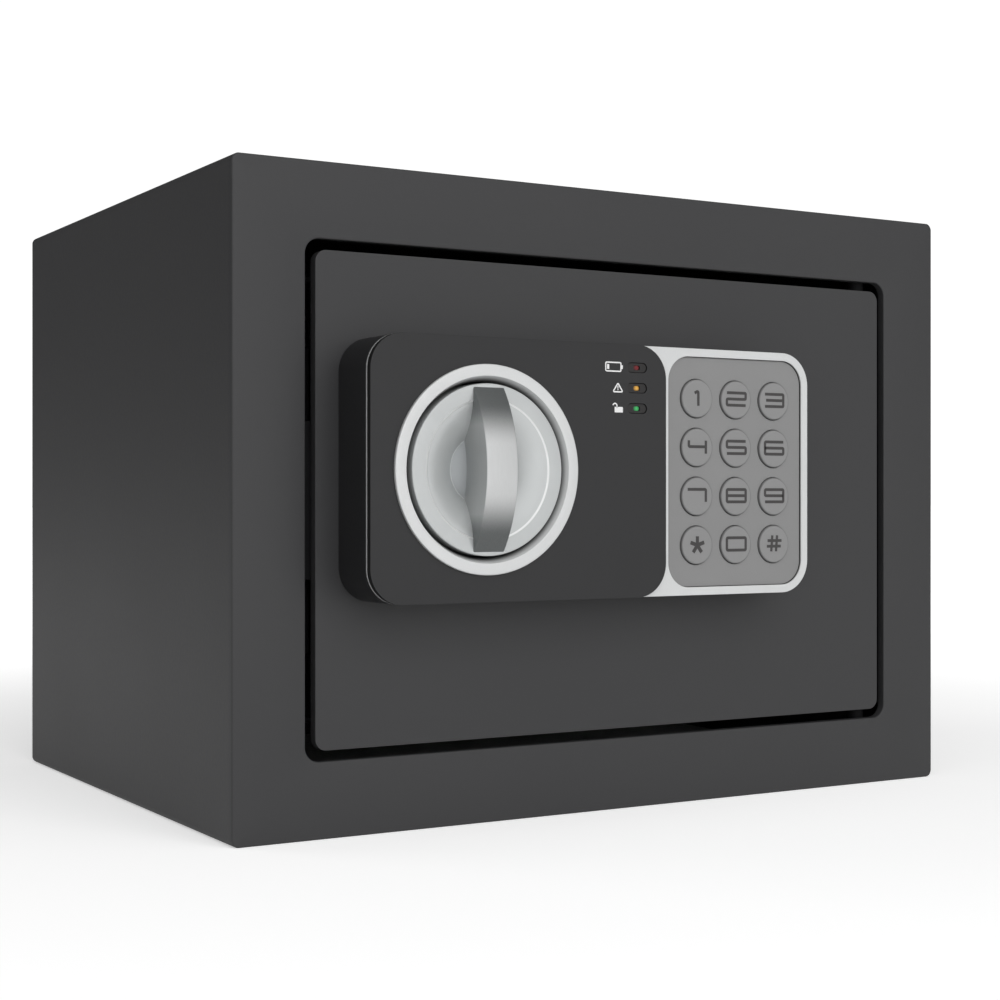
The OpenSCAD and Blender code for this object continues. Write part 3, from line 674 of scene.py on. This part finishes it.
def lamp_shape(z):
    """A domed lens on a short barrel, standing on the circuit board."""
    stand = reaches("led_red")[1]
    dome_h = 0.45 * mm
    bend = np.linspace(0, np.pi / 2, 12)
    cap = np.stack([lamp_r * np.cos(bend), face - inlay_sunk - dome_h + dome_h * np.sin(bend)], -1)
    return turned(np.concatenate([[(0, stand), (lamp_r, stand)], cap]), lamp_x, z, 48)


def lamp_glow(colour, middle_colour, z):
    """The die glows through the middle of the lens and fades to its edge."""

    def vary(place):
        hot = 1 - place.off_line(lamp_x, z).rise(0.15 * mm, 0.95 * mm)
        return {"Base Color": hot.blend(colour, middle_colour),
                "Emission Color": hot.blend(tuple(0.3 * c for c in colour), middle_colour)}

    return vary


lamp_looks = {"led_red": ((0.06, 0.008, 0.010), (0.15, 0.012, 0.015), 0.05),
              "led_amber": ((0.22, 0.11, 0.02), (0.62, 0.33, 0.06), 0.12),
              "led_green": ((0.02, 0.15, 0.05), (0.04, 0.36, 0.10), 0.15)}
for name, z in zip(lamp_names, lamp_z):
    tint, hot_tint, power = lamp_looks[name]
    lens = finish_of(name + "_lens", tint, 0.15, vary=lamp_glow(tint, hot_tint, z), Emission_Strength=power)
    piece("lamp_" + name[4:], [lamp_shape(z)], lens, "door", [name])

# Knob's ring
# A turned sleeve round the knob, lacquered silver. Its flat face is bright, and painted shade darkens the
# cone inside the face down to the dark sleeve.
knob_x, _, knob_z = middle("knob_dial")
dial_r = extent("knob_dial").x / 2
ring_face, ring_back = reaches("knob_ring")
ring_out = extent("knob_ring").x / 2
bore_r, face_in, sleeve_r = dial_r + 0.6 * mm, dial_r + 1.85 * mm, dial_r + 3.2 * mm
cone_depth = 3 * mm
ring_profile = eased(
    [(bore_r, ring_back), (sleeve_r, ring_back), (sleeve_r, face), (ring_out, face),
     (ring_out, ring_face), (face_in, ring_face), (bore_r, ring_face - cone_depth)],
    [0.1 * mm, 0.1 * mm, 0.02 * mm, 0.05 * mm, 0.35 * mm, 0.15 * mm, 0.6 * mm])
ring = np.concatenate([ring_profile, ring_profile[:1]])
# Painted shade: the ring's inner cone darkens with depth towards the sleeve.
ring_cone_shade = shade_behind_face(silver_lacquer, "knob_ring", 0.3 * mm, 2.8 * mm, (0.08, 0.08, 0.08))
ring_silver = finish_of("ring_silver", (0.73, 0.74, 0.74), 0.34, 0.35, vary=ring_cone_shade)
piece("ring", [turned(ring, knob_x, knob_z, 192)], ring_silver, "door", ["knob_ring"])

# Knob: dial and grip bar
# The dial is a turned aluminium bowl with a small cut step inside its flat rim, on which a pale ring is a
# painted highlight, and a low dome in the middle, painted darker as shade. The grip bar is an arched strip,
# brushed along its length and pressed into the dial's slot, with painted shade at its ends and sides.
dial_face, dial_back = reaches("knob_dial")
bowl_r = 0.825 * dial_r
dome_r = 0.4 * dial_r
bowl_depth = 4.5 * mm
dome_rise = 1.5 * mm
cut_w, cut_sunk = 0.45 * mm, 0.25 * mm
bowl = np.linspace(1, 0, 28)
dome = np.linspace(1, 0, 14)
bowl_line = np.stack([dome_r + (bowl_r - cut_w - dome_r) * bowl,
                      dial_face - cut_sunk - (bowl_depth - cut_sunk) * (1 - bowl) ** 1.8], -1)
dome_line = np.stack([(dome_r - 0.15 * mm) * dome, dial_face - bowl_depth + dome_rise * (1 - dome**2)], -1)
rim_line = eased([(0, dial_back), (dial_r, dial_back), (dial_r, dial_face), (bowl_r, dial_face),
                  (bowl_r - cut_w, dial_face - cut_sunk)], [0, 0.3 * mm, 0.35 * mm, 0.2 * mm, 0])


def dial_turning(place):
    """Satin turning: very fine rings about the knob's axis over a soft cloud. A painted highlight lies on the
    cut inside the rim, and painted shade on the dome.
    """
    far = place.off_line(knob_x, knob_z)
    rings = far.node("TexNoise", {"W": far, "Scale": 9000.0, "Detail": 1.0}, noise_dimensions="1D")
    cloud = grain(place, 130, 2.0)
    inside = far.rise(bowl_r - 0.05 * mm, bowl_r + 0.1 * mm)
    # Painted highlight: a pale ring on the cut step inside the rim.
    cut_highlight = far.rise(bowl_r - 0.5 * mm, bowl_r - 0.35 * mm) - inside
    tone = (rings * 0.4 + cloud * 0.6).blend((0.60, 0.62, 0.62), (0.70, 0.72, 0.72))
    # Painted shade: the dome in the middle is darker.
    dome_shade = 1 - far.rise(dome_r - 0.3 * mm, dome_r)
    tone = dome_shade.over(tone, (0.40, 0.42, 0.43))
    return {
        "Base Color": cut_highlight.over(tone, (0.92, 0.93, 0.93)),
        "Roughness": rings * 0.1 + cloud * 0.08 + 0.27,
        "Normal": relief(rings, 0.002 * mm),
    }


satin = finish_of("satin_aluminium", (0.65, 0.67, 0.67), 0.36, 0.6, vary=dial_turning)
dial = turned(np.concatenate([rim_line, bowl_line, dome_line]), knob_x, knob_z, 192)
piece("dial", [dial], satin, "knob", ["knob_dial"], crisp=28)

grip_half_w, _, grip_half_l = extent("knob_grip") / 2
grip_rise = reaches("knob_grip")[0] - dial_face
grip_arc = (grip_half_l**2 + grip_rise**2) / (2 * grip_rise)


def grip_shape():
    """Along its length, from -1 to 1, the front lies on a circle through the ends at the dial's face and
    the middle at full rise. Each station is a slot shape with small rounded front edges."""
    along = np.sin(np.linspace(-np.pi / 2, np.pi / 2, 72))
    height = np.sqrt(grip_arc**2 - (along * grip_half_l) ** 2) - (grip_arc - grip_rise)
    edge = 0.35 * mm
    bend = np.linspace(0, np.pi / 2, 6)
    right = np.stack([grip_half_w - edge + edge * np.cos(bend), edge * np.sin(bend) - edge], -1)
    left = np.stack([-right[::-1, 0], right[::-1, 1]], -1)
    across = np.concatenate([right[:, 0], left[:, 0], [-grip_half_w, grip_half_w]])
    below = np.concatenate([right[:, 1], left[:, 1]])
    foot = np.full((len(along), 2), dial_face - 5 * mm)
    reach = np.concatenate([dial_face + np.maximum(height[:, None], 0) + below, foot], 1)
    flat = np.zeros_like(reach)
    up = knob_z + along[:, None] * grip_half_l + flat
    return skin(np.stack([knob_x + across + flat, front - reach, up], -1))


def brushing_and_painted_shade(place):
    """Brushed along the bar. Painted shade: the bar is darkest at the two ends and clears towards the middle,
    and its side faces are half as dark.
    """
    off = place.axis(2) - knob_z
    # Painted shade: darker towards both ends of the bar, and along its side faces.
    end = (off.maths("ABSOLUTE") / grip_half_l).rise(0.28, 0.80)
    brushed = grain(place, 5000, 2.0, (1, 1, 0.02))
    across = place.axis(0) - knob_x
    side = across.maths("ABSOLUTE").rise(grip_half_w - 0.10 * mm, grip_half_w - 0.02 * mm)
    tone = end.maths("MAXIMUM", side * 0.5) * 0.92 + brushed * 0.08
    return {
        "Base Color": tone.blend((0.80, 0.81, 0.81), (0.15, 0.16, 0.16)),
        "Roughness": brushed * 0.12 + 0.32,
        "Normal": relief(brushed, 0.003 * mm),
    }


brushed_bar = finish_of("brushed_bar", (0.68, 0.69, 0.7), 0.3, 0.75, vary=brushing_and_painted_shade)
piece("grip_bar", [grip_shape()], brushed_bar, "knob", ["knob_grip"])

# Keypad mat and keys
# One silicone rubber mat fills the bezel's opening, and each key is a round button in its own hole. The
# digits are printed in dark grey, drawn wide, with square turns.


def silicone(light, dark):
    """Matt rubber: a soft fine tooth and faint moulding clouds."""

    def vary(place):
        tooth = grain(place, 3800, 1.0)
        cloud = grain(place, 70, 2.0)
        return {
            "Base Color": (tooth * 0.4 + cloud * 0.6).blend(dark, light),
            "Roughness": tooth * 0.1 + 0.58,
            "Normal": relief(tooth, 0.003 * mm),
        }

    return vary


pad_rubber = finish_of("pad_rubber", (0.23, 0.23, 0.23), 0.62,
                       vary=silicone((0.240, 0.240, 0.240), (0.218, 0.218, 0.218)), Specular_IOR_Level=0.35)
dress(["keypad_mat"], pad_rubber, 0.15 * mm)
first_key = middle("key_1")
key_r = extent("key_1").x / 2
key_pitch = (middle("key_2").x - first_key.x, first_key.z - middle("key_4").z)


def rubber_with_painted_rim_shade(place):
    """The same rubber, with painted shade where each button's edge rounds down into its hole. How far a point
    is from its button's middle comes from the pitch, folded back and forth along both directions."""
    looks = silicone((0.248, 0.248, 0.248), (0.230, 0.230, 0.230))(place)
    across = (place.axis(0) - first_key.x).maths("PINGPONG", key_pitch[0] / 2)
    up = (place.axis(2) - first_key.z).maths("PINGPONG", key_pitch[1] / 2)
    # Painted shade: the rubber darkens at each button's edge, where the gap round it lies in shade.
    rim = ((across * across + up * up) ** 0.5).rise(key_r - 0.35 * mm, key_r - 0.15 * mm)
    looks["Base Color"] = rim.over(looks["Base Color"], (0.16, 0.16, 0.16))
    return looks


key_rubber = finish_of("key_rubber", (0.24, 0.24, 0.24), 0.6, vary=rubber_with_painted_rim_shade, Specular_IOR_Level=0.35)
dark_ink = finish_of("dark_ink", (0.045, 0.043, 0.043), 0.55,
                     vary=silicone((0.055, 0.052, 0.052), (0.042, 0.040, 0.040)))

stem_r, flange_t = 3 * mm, 1 * mm
digit_w, digit_h, stroke = 6.5 * mm, 3.4 * mm, 0.8 * mm
digit_lines = {
    "1": [[(0.36, 0.88), (0.55, 1.06), (0.55, -0.14)]],
    "2": [[(0, 1), (1, 1), (1, 0.5), (0, 0.5), (0, 0), (1, 0)]],
    "3": [[(0, 1), (1, 1), (1, 0), (0, 0)], [(0.06, 0.5), (1, 0.5)]],
    "4": [[(0.06, 1), (0.06, 0.5), (1, 0.5)], [(0.94, 1), (0.94, -0.05)]],
    "5": [[(1, 1), (0, 1), (0, 0.5), (1, 0.5), (1, 0), (0, 0)]],
    "6": [[(1, 1), (0, 1), (0, 0), (1, 0), (1, 0.5), (0, 0.5)]],
    "7": [[(0, 1), (0.94, 1), (0.94, 0)]],
    "8": [[(0, 0), (0, 1), (1, 1), (1, 0), (0, 0)], [(0, 0.5), (1, 0.5)]],
    "9": [[(1, 0.5), (0, 0.5), (0, 1), (1, 1), (1, 0), (0, 0)]],
    "0": [[(0, 0), (0, 1), (1, 1), (1, 0), (0, 0)]],
    "star": [[(0.5, 0.45), (0.5 + 0.37 * math.cos(a), 0.45 + 0.71 * math.sin(a))]
             for a in np.radians([90, 162, 234, 306, 18])],
    "hash": [[(0.34, -0.16), (0.40, 1.16)], [(0.60, -0.16), (0.66, 1.16)], [(0.10, 0.27), (0.86, 0.27)],
             [(0.14, 0.73), (0.90, 0.73)]],
}
for name, lines in digit_lines.items():
    node = "key_" + name
    x, _, z = middle(node)
    key_face, key_back = reaches(node)
    skirt = key_back + flange_t
    button = eased([(0, key_back), (stem_r, key_back), (stem_r, skirt), (key_r, skirt),
                    (key_r, key_face - 0.1 * mm), (key_r - 0.6 * mm, key_face - 0.02 * mm),
                    (0, key_face - 0.06 * mm)], [0, 0.2 * mm, 0.2 * mm, 0.2 * mm, 0.25 * mm, 0.4 * mm, 0])
    piece(node + "_button", [turned(button, x, z, 96)], key_rubber, node, [node])
    width = stroke * (1.3 if name == "star" else 1)
    strips = []
    for line in lines:
        loop = line[0] == line[-1]
        points = (np.array(line[:-1] if loop else line) - 0.5) * (digit_w, digit_h) + (x, z + 0.2 * mm)
        turns = np.full(len(points), 0.35 * mm)
        turns[[0, -1]] *= loop
        rounded = eased(points, turns, 4) if len(points) > 2 else points
        ink_top = key_face + (0.004 * len(strips) - 0.01) * mm
        strips.append(strip(rounded, width, key_face - 0.1 * mm, ink_top, loop))
    piece(node + "_print", strips, dark_ink, node)

# Circuit board
# Glass-epoxy board under green solder mask, with the buzzer and two chips on its back.


def solder_mask(place):
    """Green lacquer over copper tracks: the tracks show as paler bands with square turns."""
    upright = place.node("Mapping", {"Vector": place, "Rotation": (math.pi / 2, 0, 0)})
    tracks = place.node("TexBrick", {"Vector": upright, "Scale": 260.0, "Mortar Size": 0.12}, out=1)
    weave = grain(place, 1500, 1.0)
    return {
        "Base Color": (tracks * 0.6 + weave * 0.3).blend((0.010, 0.065, 0.028), (0.035, 0.17, 0.07)),
        "Roughness": weave * 0.15 + 0.25,
        "Normal": relief(tracks, 0.03 * mm),
    }


board = finish_of("solder_mask", (0.02, 0.12, 0.05), 0.3, vary=solder_mask)
dress(["circuit_board"], board, 0.1 * mm, 1)

# Lock case
# A folded steel pan behind the door with a flat cover. Hexagonal posts stand inside, and pan-head screws
# with a cross recess hold the cover on and the lock panel to the door.
dress(["lock_case", "case_cover"], inner_coat, 0.25 * mm)
dress(["case_posts"], zinc, 0.2 * mm, 1)


def cross_screw(x, z, seat, head_r, head_t, length, shank_r):
    """A pan head with a cross recess and a threaded shank. The head's dome falls away from its middle; in
    the recess, where the radius is under the cross's outline at that angle, the surface is sunk."""
    angle = circle(96)
    turn = np.abs((angle + np.pi / 4) % (np.pi / 2) - np.pi / 4)
    outline = np.minimum(0.62 * head_r / np.cos(turn), 0.13 * head_r / np.maximum(np.sin(turn), 1e-6))
    share = np.linspace(0, 1, 9)[1:, None]
    radius = np.concatenate([outline * np.array([[0], [0.5], [0.9], [1]]),
                             outline + (head_r * 0.92 - outline) * share,
                             np.array([[head_r], [head_r], [shank_r], [0]]) * np.ones_like(angle)])
    fall = np.concatenate([[[0.6], [0.6], [0.5], [0]], 0.2 * share**2, [[0.45], [1], [1], [1]]])
    reach = seat - head_t * (1 - fall) + np.zeros_like(angle)
    x_at, z_at = x + radius * np.cos(angle), z + radius * np.sin(angle)
    head = skin(np.stack([x_at, front - reach, z_at], -1), ends=False)
    turns = length / (0.7 * mm)
    down = np.linspace(0, 1, int(turns * 12))
    thread = shank_r - 0.12 * mm * (0.5 + 0.5 * np.cos(2 * np.pi * down * turns))
    shank = np.concatenate([[(0, seat - 0.2 * mm)], np.stack([thread, seat + down * (length - 0.8 * mm)], -1),
                            [(shank_r * 0.45, seat + length), (0, seat + length)]])
    return [head, turned(shank, x, z, 24)]


def screws_at(node, centres, seat, head_r, length, shank_r, body="door"):
    """Cross-head screws in place of that node, with their heads' undersides at seat and facing backwards."""
    head_t = seat - reaches(node)[1]
    skins = [s for x, z in centres for s in cross_screw(x, z, seat, head_r, head_t, length, shank_r)]
    piece(node.replace("_", "-"), skins, zinc, body, [node], crisp=50)


def four_corners(node, head_r):
    """The middles of four heads of that radius in the corners of a node's box."""
    low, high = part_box(node)
    return [(x, z) for x in (low.x + head_r, high.x - head_r) for z in (low.z + head_r, high.z - head_r)]


thread_r = 1.25 * mm
head_r = 2.8 * mm
cover_seat = reaches("case_cover")[1]
screws_at("case_screws", four_corners("case_screws", head_r), cover_seat, head_r, 9.2 * mm, thread_r)
head_r = 2.5 * mm
door_back = -3 * mm
screws_at("panel_screws", four_corners("panel_screws", head_r), door_back, head_r, 10 * mm, thread_r)

# Bolt work
# The spindle turns the crank through a brass bush. The crank's pin slides the carriage, a flat plate on
# two headed studs, and the two round bolts are riveted to it. The bolts are nickel plated and chamfered.


def nickel_plate(place):
    """Bright plate: faint turning lines round the bolt and a few dull clouds."""
    lines = grain(place, 2600, 1.0, (1, 0.05, 0.05))
    cloud = grain(place, 90, 2.0)
    return {
        "Base Color": cloud.blend((0.50, 0.50, 0.52), (0.60, 0.60, 0.61)),
        "Roughness": lines * 0.05 + cloud * 0.08 + 0.22,
        "Normal": relief(lines, 0.0012 * mm),
    }


def turned_brass(place):
    """Bright brass with turning lines and a warm tarnish in patches."""
    lines = grain(place, 2600, 1.0, (0.05, 1, 0.05))
    tarnish = grain(place, 200, 3.0)
    return {
        "Base Color": tarnish.blend((0.72, 0.55, 0.25), (0.50, 0.35, 0.13)),
        "Roughness": lines * 0.12 + tarnish * 0.15 + 0.15,
        "Normal": relief(lines, 0.004 * mm),
    }


nickel = finish_of("bright_nickel", (0.72, 0.72, 0.74), 0.2, 1.0, vary=nickel_plate)
brass = finish_of("brass", (0.65, 0.48, 0.2), 0.3, 1.0, vary=turned_brass)
dress(["crank", "bolt_carriage", "guide_studs"], zinc, 0.2 * mm)
spindle_r = extent("knob_spindle").x / 2
spindle_front, spindle_back = reaches("knob_spindle")
tapped_r, tapped_end = 1.6 * mm, spindle_back + 8 * mm
bar_line = eased([(0, spindle_front), (spindle_r, spindle_front), (spindle_r, spindle_back),
                  (tapped_r, spindle_back), (tapped_r, tapped_end), (0, tapped_end)],
                 [0, 0.3 * mm, 0.3 * mm, 0.2 * mm, 0, 0])
piece("spindle", [turned(bar_line, knob_x, knob_z, 96)], zinc, "knob", ["knob_spindle"])
bush_front, bush_back = reaches("spindle_bush")
flange_r = extent("spindle_bush").x / 2
bore_r, sleeve_r = spindle_r + 0.05 * mm, spindle_r + 2 * mm
bush_line = eased([(bore_r, bush_back), (sleeve_r, bush_back), (sleeve_r, 0), (flange_r, 0),
                   (flange_r, bush_front), (bore_r, bush_front)],
                  [0.2 * mm, 0.3 * mm, 0.1 * mm, 0.2 * mm, 0.2 * mm, 0.2 * mm])
bush_loop = np.concatenate([bush_line, bush_line[:1]])
piece("bush", [turned(bush_loop, knob_x, knob_z, 96)], brass, "door", ["spindle_bush"])
dress(["locking_bolts"], nickel, 0.7 * mm, 3)
dress(["bolt_rivets"], zinc, 0.3 * mm)
head_r, head_t, thread_r = extent("crank_screw").x / 2, 1.5 * mm, 1.55 * mm
crank_seat = reaches("crank_screw")[1] + head_t
screws_at("crank_screw", [(knob_x, knob_z)], crank_seat, head_r, 6 * mm, thread_r, "knob")

# Solenoid
# A bent steel yoke holds the coil, wound with copper and taped. The plunger hangs in it on a light
# nickel-plated spring.
dress(["solenoid_yoke"], zinc, 0.2 * mm)
tape_pitch = 0.55 * mm


def coil_winding(place):
    """Lacquered tape over the winding: the turns show as rings up the coil, with a glossy overlap."""
    turns = (place.axis(2) * (2 * math.pi / tape_pitch)).maths("SINE")
    lacquer = grain(place, 300, 2.0)
    return {
        "Base Color": (turns * 0.25 + lacquer * 0.5 + 0.25).blend((0.22, 0.05, 0.02), (0.48, 0.13, 0.05)),
        "Roughness": lacquer * 0.2 + 0.25,
        "Normal": relief(turns, 0.08 * mm),
    }


tape = finish_of("coil_tape", (0.35, 0.08, 0.03), 0.35, vary=coil_winding)
dress(["solenoid_coil"], tape, 0.2 * mm)
dress(["solenoid_plunger"], nickel, 0.3 * mm)


def tube(path, radius, around=16):
    """A round tube along a path of points: each ring lies square to the path, set by two directions that
    are square to its tangent and to each other."""
    along = np.gradient(path, axis=0)
    along /= np.linalg.norm(along, axis=1, keepdims=True)
    side = np.cross(along, np.array([0.31, 0.17, 0.93]))
    side /= np.linalg.norm(side, axis=1, keepdims=True)
    other = np.cross(along, side)
    angle = circle(around)
    grid = path[:, None] + radius * (np.cos(angle)[:, None] * side[:, None]
                                     + np.sin(angle)[:, None] * other[:, None])
    return skin(grid)


def coil_spring(x, y, low, high, coil_r, wire_r, turns):
    """A helix of wire: the angle grows evenly, and the height hardly grows over the ground share at each
    end, so that the end turns lie closed."""
    ground = 0.12
    share = np.linspace(0, 1, turns * 28)
    angle = share * turns * 2 * np.pi
    rise = np.clip((share - ground) / (1 - 2 * ground), 0, 1)
    height = low + wire_r + (high - low - 2 * wire_r) * (0.06 * share + 0.94 * rise)
    path = np.stack([x + coil_r * np.cos(angle), y + coil_r * np.sin(angle), height], -1)
    return tube(path, wire_r, 10)


def drawn_wire(place):
    """Spring wire with drawing lines and a slightly duller plate."""
    lines = grain(place, 3500, 1.0)
    return {"Base Color": lines.blend((0.48, 0.49, 0.51), (0.62, 0.63, 0.65)), "Roughness": lines * 0.2 + 0.2}


wire = finish_of("spring_wire", (0.55, 0.56, 0.58), 0.3, 1.0, vary=drawn_wire)
spring_low, spring_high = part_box("plunger_spring")
plunger_x, plunger_y = middle("plunger_spring").x, middle("solenoid_plunger").y
helix = coil_spring(plunger_x, plunger_y, spring_low.z, spring_high.z, coil_r=4.2 * mm,
                    wire_r=0.35 * mm, turns=5)
plunger_coil = piece("return_spring", [helix], wire, "door", ["plunger_spring"])
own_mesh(plunger_coil)

# Override key lock
# A brass plug in a nickel-plated barrel behind the cover, with a steel cam on its tail.
dress(["override_barrel"], nickel, 0.2 * mm)
dress(["override_plug"], brass, 0.15 * mm)
dress(["override_cam"], zinc, 0.2 * mm)

# Battery tray
# A black ABS tray set into the case cover, four AA cells side by side, coil and plate contacts of
# nickel-plated steel, and a lid that slides up in two rails.
dress(["battery_tray", "battery_lid"], black_abs, 0.3 * mm)
cell_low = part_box("battery_cells")[0]
cell_r, cell_len = 7.1 * mm, 48.6 * mm
plus_r, plus_h = 2.7 * mm, 1.5 * mm
cell_pitch = (extent("battery_cells").x - 2 * cell_r) / 3
_, cell_y, cell_z = middle("battery_cells")


def in_bay(skin_made, index):
    """A skin made about the origin, moved to that cell's place. Every second cell stands upside down."""
    points, faces = skin_made
    up = 1 if index % 2 == 0 else -1
    return points * (1, 1, up) + (cell_low.x + cell_r + index * cell_pitch, cell_y, cell_z), faces


def cell_shape():
    """A turned can: crimped shoulder, raised terminal at its plus end, and a slightly sunk minus end."""
    half = cell_len / 2
    can = eased([(0, -half + 0.15 * mm), (cell_r - 1.1 * mm, -half + 0.15 * mm), (cell_r - 1.0 * mm, -half),
                 (cell_r, -half), (cell_r, half), (cell_r - 1.2 * mm, half),
                 (cell_r - 1.4 * mm, half - 0.3 * mm), (plus_r, half - 0.3 * mm),
                 (plus_r, half + plus_h), (0, half + plus_h)],
                [0, 0.05 * mm, 0.05 * mm, 0.5 * mm, 0.6 * mm, 0.1 * mm, 0.1 * mm, 0.1 * mm, 0.4 * mm, 0])
    return stood(turned(can, 0, 0, 96), 0, 0, 0)


def cell_sleeve(place):
    """Printed sleeve: a copper-coloured top band, a black body, and a bare steel end. The cells lie end for
    end in turn, so the band's height follows the cell that the point is on."""
    number = ((place.axis(0) - cell_low.x) / cell_pitch).maths("FLOOR")
    odd = number - (number * 0.5).maths("FLOOR") * 2
    height = (place.axis(2) - cell_z) * (1 - odd * 2)
    band = height.rise(10.0 * mm, 10.2 * mm)
    bare = height.rise(cell_len / 2 - 0.5 * mm, cell_len / 2 - 0.45 * mm)
    scuff = grain(place, 500, 3.0)
    printed_tone = band.blend((0.018, 0.018, 0.020), (0.62, 0.30, 0.10))
    return {
        "Base Color": bare.over(printed_tone, (0.62, 0.62, 0.63)),
        "Roughness": scuff * 0.15 + 0.22,
        "Metallic": band * 0.6 + bare * 0.4,
    }


sleeve = finish_of("cell_sleeve", (0.55, 0.4, 0.12), 0.3, vary=cell_sleeve)
piece("cells", [in_bay(cell_shape(), i) for i in range(4)], sleeve, "door", ["battery_cells"])

contact_half = extent("battery_contacts").z / 2
contact_r, contact_t = 5 * mm, 0.5 * mm


def contact_shapes():
    """A plate at each end of a cell, a coil spring on the plate at the minus end, and a dimple at the
    other."""
    tip, seat = cell_len / 2 + plus_h, contact_half - contact_t
    plate = [turned(eased([(0, z), (contact_r, z), (contact_r, z + contact_t), (0, z + contact_t)],
                          [0, 0.1 * mm, 0.1 * mm, 0]), 0, 0, 48) for z in (-contact_half, seat)]
    nub = turned(eased([(0, tip), (1.5 * mm, tip), (1.8 * mm, seat), (0, seat)],
                       [0, 0.4 * mm, 0.1 * mm, 0]), 0, 0, 32)
    helix = coil_spring(0, 0, -seat, -cell_len / 2, coil_r=3.2 * mm, wire_r=0.35 * mm, turns=3)
    return [stood(made, 0, 0, 0) for made in (*plate, nub)] + [helix]


piece("contacts", [in_bay(shape, i) for i in range(4) for shape in contact_shapes()], wire, "door",
      ["battery_contacts"])

# Reset button
# A red moulded button that stands in a hole of the case cover, on its black switch.
red_abs = finish_of("red_abs", (0.55, 0.03, 0.02), 0.3,
                    vary=spark_texture((0.60, 0.035, 0.022), (0.48, 0.022, 0.016), 0.3, 0.002 * mm))
dress(["reset_switch"], black_abs, 0.3 * mm)
reset_x, _, reset_z = middle("reset_button")
reset_r = extent("reset_button").x / 2
reset_front, reset_back = reaches("reset_button")
cap = eased([(0, reset_front), (reset_r, reset_front), (reset_r, reset_back), (0, reset_back + 0.2 * mm)],
            [0, 0.2 * mm, 0.7 * mm, 0])
piece("red_button", [turned(cap, reset_x, reset_z, 64)], red_abs, "reset_button",
      ["reset_button"])

# Leads
# Two sheathed copper leads from the circuit board through a hole in the door plate, one to the solenoid
# and one to the battery tray.


def lead_jacket(place):
    """Soft vinyl: faint extrusion lines and a dull bloom."""
    bloom = grain(place, 240, 2.0)
    vinyl = bloom.blend((0.28, 0.022, 0.016), (0.42, 0.045, 0.03))
    return {"Base Color": vinyl, "Roughness": bloom * 0.2 + 0.35}


jacket = finish_of("lead_jacket", (0.35, 0.03, 0.02), 0.45, vary=lead_jacket)
dress(["wire_leads"], jacket, 0)
